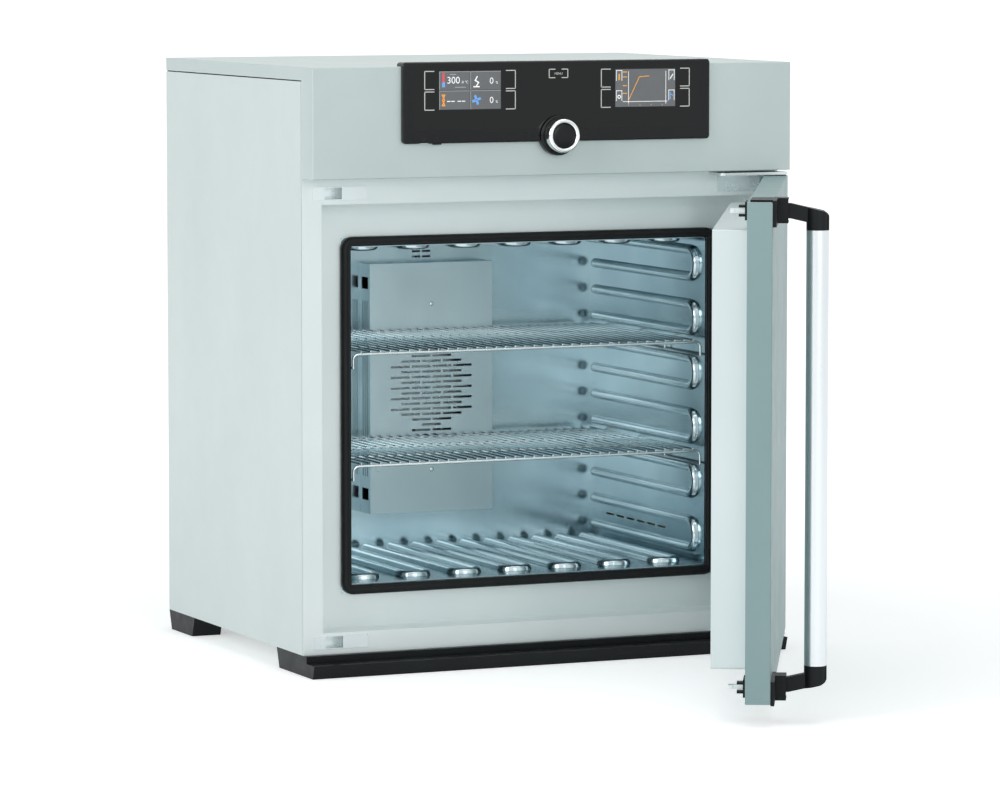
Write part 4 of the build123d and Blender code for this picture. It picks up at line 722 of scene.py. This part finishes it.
def right_screen():
    low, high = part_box("right_display")
    width, height = high[0] - low[0], high[2] - low[2]

    def at(u, v):
        return (low[0] + u * width, low[2] + v * height)

    face = plate((low[0] + 0.5 * MM, high[0] - 0.5 * MM), (low[2] + 0.5 * MM, high[2] - 0.5 * MM),
                 SCREEN_FRONT, 0.05 * MM)
    new_piece("chart_face", joined("chart_face", [face]), "cabinet", "display_face", "tile", smooth=False)
    axes = [
        [at(0.22, 0.1), at(0.22, 0.93)],
        [at(0.13, 0.14), at(0.86, 0.14)],
        [at(0.84, 0.08), at(0.84, 0.93)],
    ]
    ink("chart_axes", axes, 0.8 * MM, "lit_white")
    ink("chart_curve", [[at(0.22, 0.17), at(0.4, 0.79), at(0.56, 0.81)]], 1.0 * MM, "lit_orange", 0.14 * MM)
    ticks = [[at(0.13, v), at(0.19, v)] for v in (0.36, 0.56, 0.79, 0.92)]
    ink("chart_ticks", ticks, 1.2 * MM, "lit_orange")
    for number, u in (("0", 0.21), ("2", 0.40), ("4", 0.585), ("6", 0.77)):
        label("hour_" + number, number, 3.6 * MM, *at(u, 0.03), "lit_grey")
    for name, u, v in (("a", 0.02, 0.7), ("b", 0.02, 0.17), ("c", 0.89, 0.7), ("d", 0.89, 0.17)):
        frame_line = [at(u, v), at(u, v + 0.26), at(u + 0.09, v + 0.26), at(u + 0.09, v)]
        ink("soft_key_" + name, [frame_line], 0.9 * MM, "lit_white")
    ink("soft_thermometer", [[at(0.065, 0.73), at(0.065, 0.85)]], 2.2 * MM, "lit_orange", 0.16 * MM)
    centre = Vector(at(0.065, 0.27))
    clock = [tuple(centre + Vector(p)) for p in arc((0, 0), 2.2 * MM, 0, 360, 12)]
    ink("soft_clock", [clock], 0.9 * MM, "lit_white", 0.15 * MM)
    ink("soft_wrench", [[at(0.915, 0.74), at(0.955, 0.84)]], 1.5 * MM, "lit_white", 0.15 * MM)
    flag = [[at(0.915, 0.2), at(0.915, 0.36)], [at(0.92, 0.33), at(0.955, 0.29)]]
    ink("soft_flag", flag, 1.3 * MM, "lit_blue", 0.15 * MM)


# Stage and light
# The floor glows less near the object than far off, which paints shade around its base
GLOW_NEAR, GLOW_FAR = 0.42, 0.8
GLOW_NEAR_RADIUS, GLOW_FAR_RADIUS = 0.7, 2.4


def make_stage():
    size = 120.0
    corners = [(-size, -size), (size, -size), (size, size), (-size, size)]
    mesh = mesh_from("floor", [Vector((x, y, -0.0002)) for x, y in corners], [[0, 1, 2, 3]])
    floor = bpy.data.objects.new("floor", mesh)
    bpy.context.scene.collection.objects.link(floor)
    material = bpy.data.materials.new("floor")
    material.use_nodes = True
    tree = material.node_tree
    tree.nodes.clear()
    path = tree.nodes.new("ShaderNodeLightPath")
    diffuse = tree.nodes.new("ShaderNodeBsdfDiffuse")
    diffuse.inputs["Color"].default_value = (0.9, 0.92, 0.92, 1)
    glow = tree.nodes.new("ShaderNodeEmission")
    strength = tree.nodes.new("ShaderNodeMath")
    strength.operation = "MULTIPLY"
    place = tree.nodes.new("ShaderNodeTexCoord")
    distance = tree.nodes.new("ShaderNodeVectorMath")
    distance.operation = "LENGTH"
    # Painted shade: the floor's glow drops towards the object
    painted_shade_near_object = tree.nodes.new("ShaderNodeMapRange")
    painted_shade_near_object.inputs["From Min"].default_value = GLOW_NEAR_RADIUS
    painted_shade_near_object.inputs["From Max"].default_value = GLOW_FAR_RADIUS
    painted_shade_near_object.inputs["To Min"].default_value = GLOW_NEAR
    painted_shade_near_object.inputs["To Max"].default_value = GLOW_FAR
    tree.links.new(place.outputs["Object"], distance.inputs[0])
    tree.links.new(distance.outputs["Value"], painted_shade_near_object.inputs["Value"])
    tree.links.new(painted_shade_near_object.outputs["Result"], strength.inputs[1])
    add = tree.nodes.new("ShaderNodeAddShader")
    output = tree.nodes.new("ShaderNodeOutputMaterial")
    tree.links.new(seen_ray(tree, path), strength.inputs[0])
    tree.links.new(strength.outputs[0], glow.inputs["Strength"])
    tree.links.new(diffuse.outputs[0], add.inputs[0])
    tree.links.new(glow.outputs[0], add.inputs[1])
    tree.links.new(add.outputs[0], output.inputs["Surface"])
    mesh.materials.append(material)


def seen_ray(tree, path):
    """1 for rays that show the background: those from the camera and through gloss or glass."""
    first = tree.nodes.new("ShaderNodeMath")
    first.operation = "MAXIMUM"
    second = tree.nodes.new("ShaderNodeMath")
    second.operation = "MAXIMUM"
    tree.links.new(path.outputs["Is Camera Ray"], first.inputs[0])
    tree.links.new(path.outputs["Is Glossy Ray"], first.inputs[1])
    tree.links.new(first.outputs[0], second.inputs[0])
    tree.links.new(path.outputs["Is Transmission Ray"], second.inputs[1])
    return second.outputs[0]


def make_world():
    world = bpy.data.worlds.new("studio")
    bpy.context.scene.world = world
    world.use_nodes = True
    tree = world.node_tree
    tree.nodes.clear()
    path = tree.nodes.new("ShaderNodeLightPath")
    soft = tree.nodes.new("ShaderNodeBackground")
    soft.inputs["Color"].default_value = (0.96, 0.99, 1.0, 1)
    soft.inputs["Strength"].default_value = 0.42
    white = tree.nodes.new("ShaderNodeBackground")
    white.inputs["Color"].default_value = (1, 1, 1, 1)
    white.inputs["Strength"].default_value = 1.0
    mix = tree.nodes.new("ShaderNodeMixShader")
    output = tree.nodes.new("ShaderNodeOutputWorld")
    tree.links.new(seen_ray(tree, path), mix.inputs["Fac"])
    tree.links.new(soft.outputs[0], mix.inputs[1])
    tree.links.new(white.outputs[0], mix.inputs[2])
    tree.links.new(mix.outputs[0], output.inputs["Surface"])


def area_light(name, place, target, size, power):
    data = bpy.data.lights.new(name, "AREA")
    data.shape = "RECTANGLE"
    data.size, data.size_y = size
    data.energy = power
    light = bpy.data.objects.new(name, data)
    bpy.context.scene.collection.objects.link(light)
    light.location = place
    light.rotation_euler = (Vector(target) - Vector(place)).to_track_quat("-Z", "Y").to_euler()
    light.visible_camera = False


def make_lights():
    area_light("key", (-4.0, -1.4, 2.2), (0, 0, 0.4), (2.4, 2.2), 62)
    area_light("front_fill", (-0.2, -4.4, 1.7), (0.1, -0.2, 0.4), (2.4, 1.6), 26)
    area_light("top", (0.2, -0.2, 3.2), (0, -0.2, 0), (2.6, 2.2), 20)


bpy.context.scene.view_settings.view_transform = "Standard"
make_camera()
materials = make_materials()
dress_nodes()
make_ribs()
make_screws()
shelf("upper_shelf")
shelf("lower_shelf")
make_gasket()
make_knob()
make_screens()
make_stage()
make_world()
make_lights()
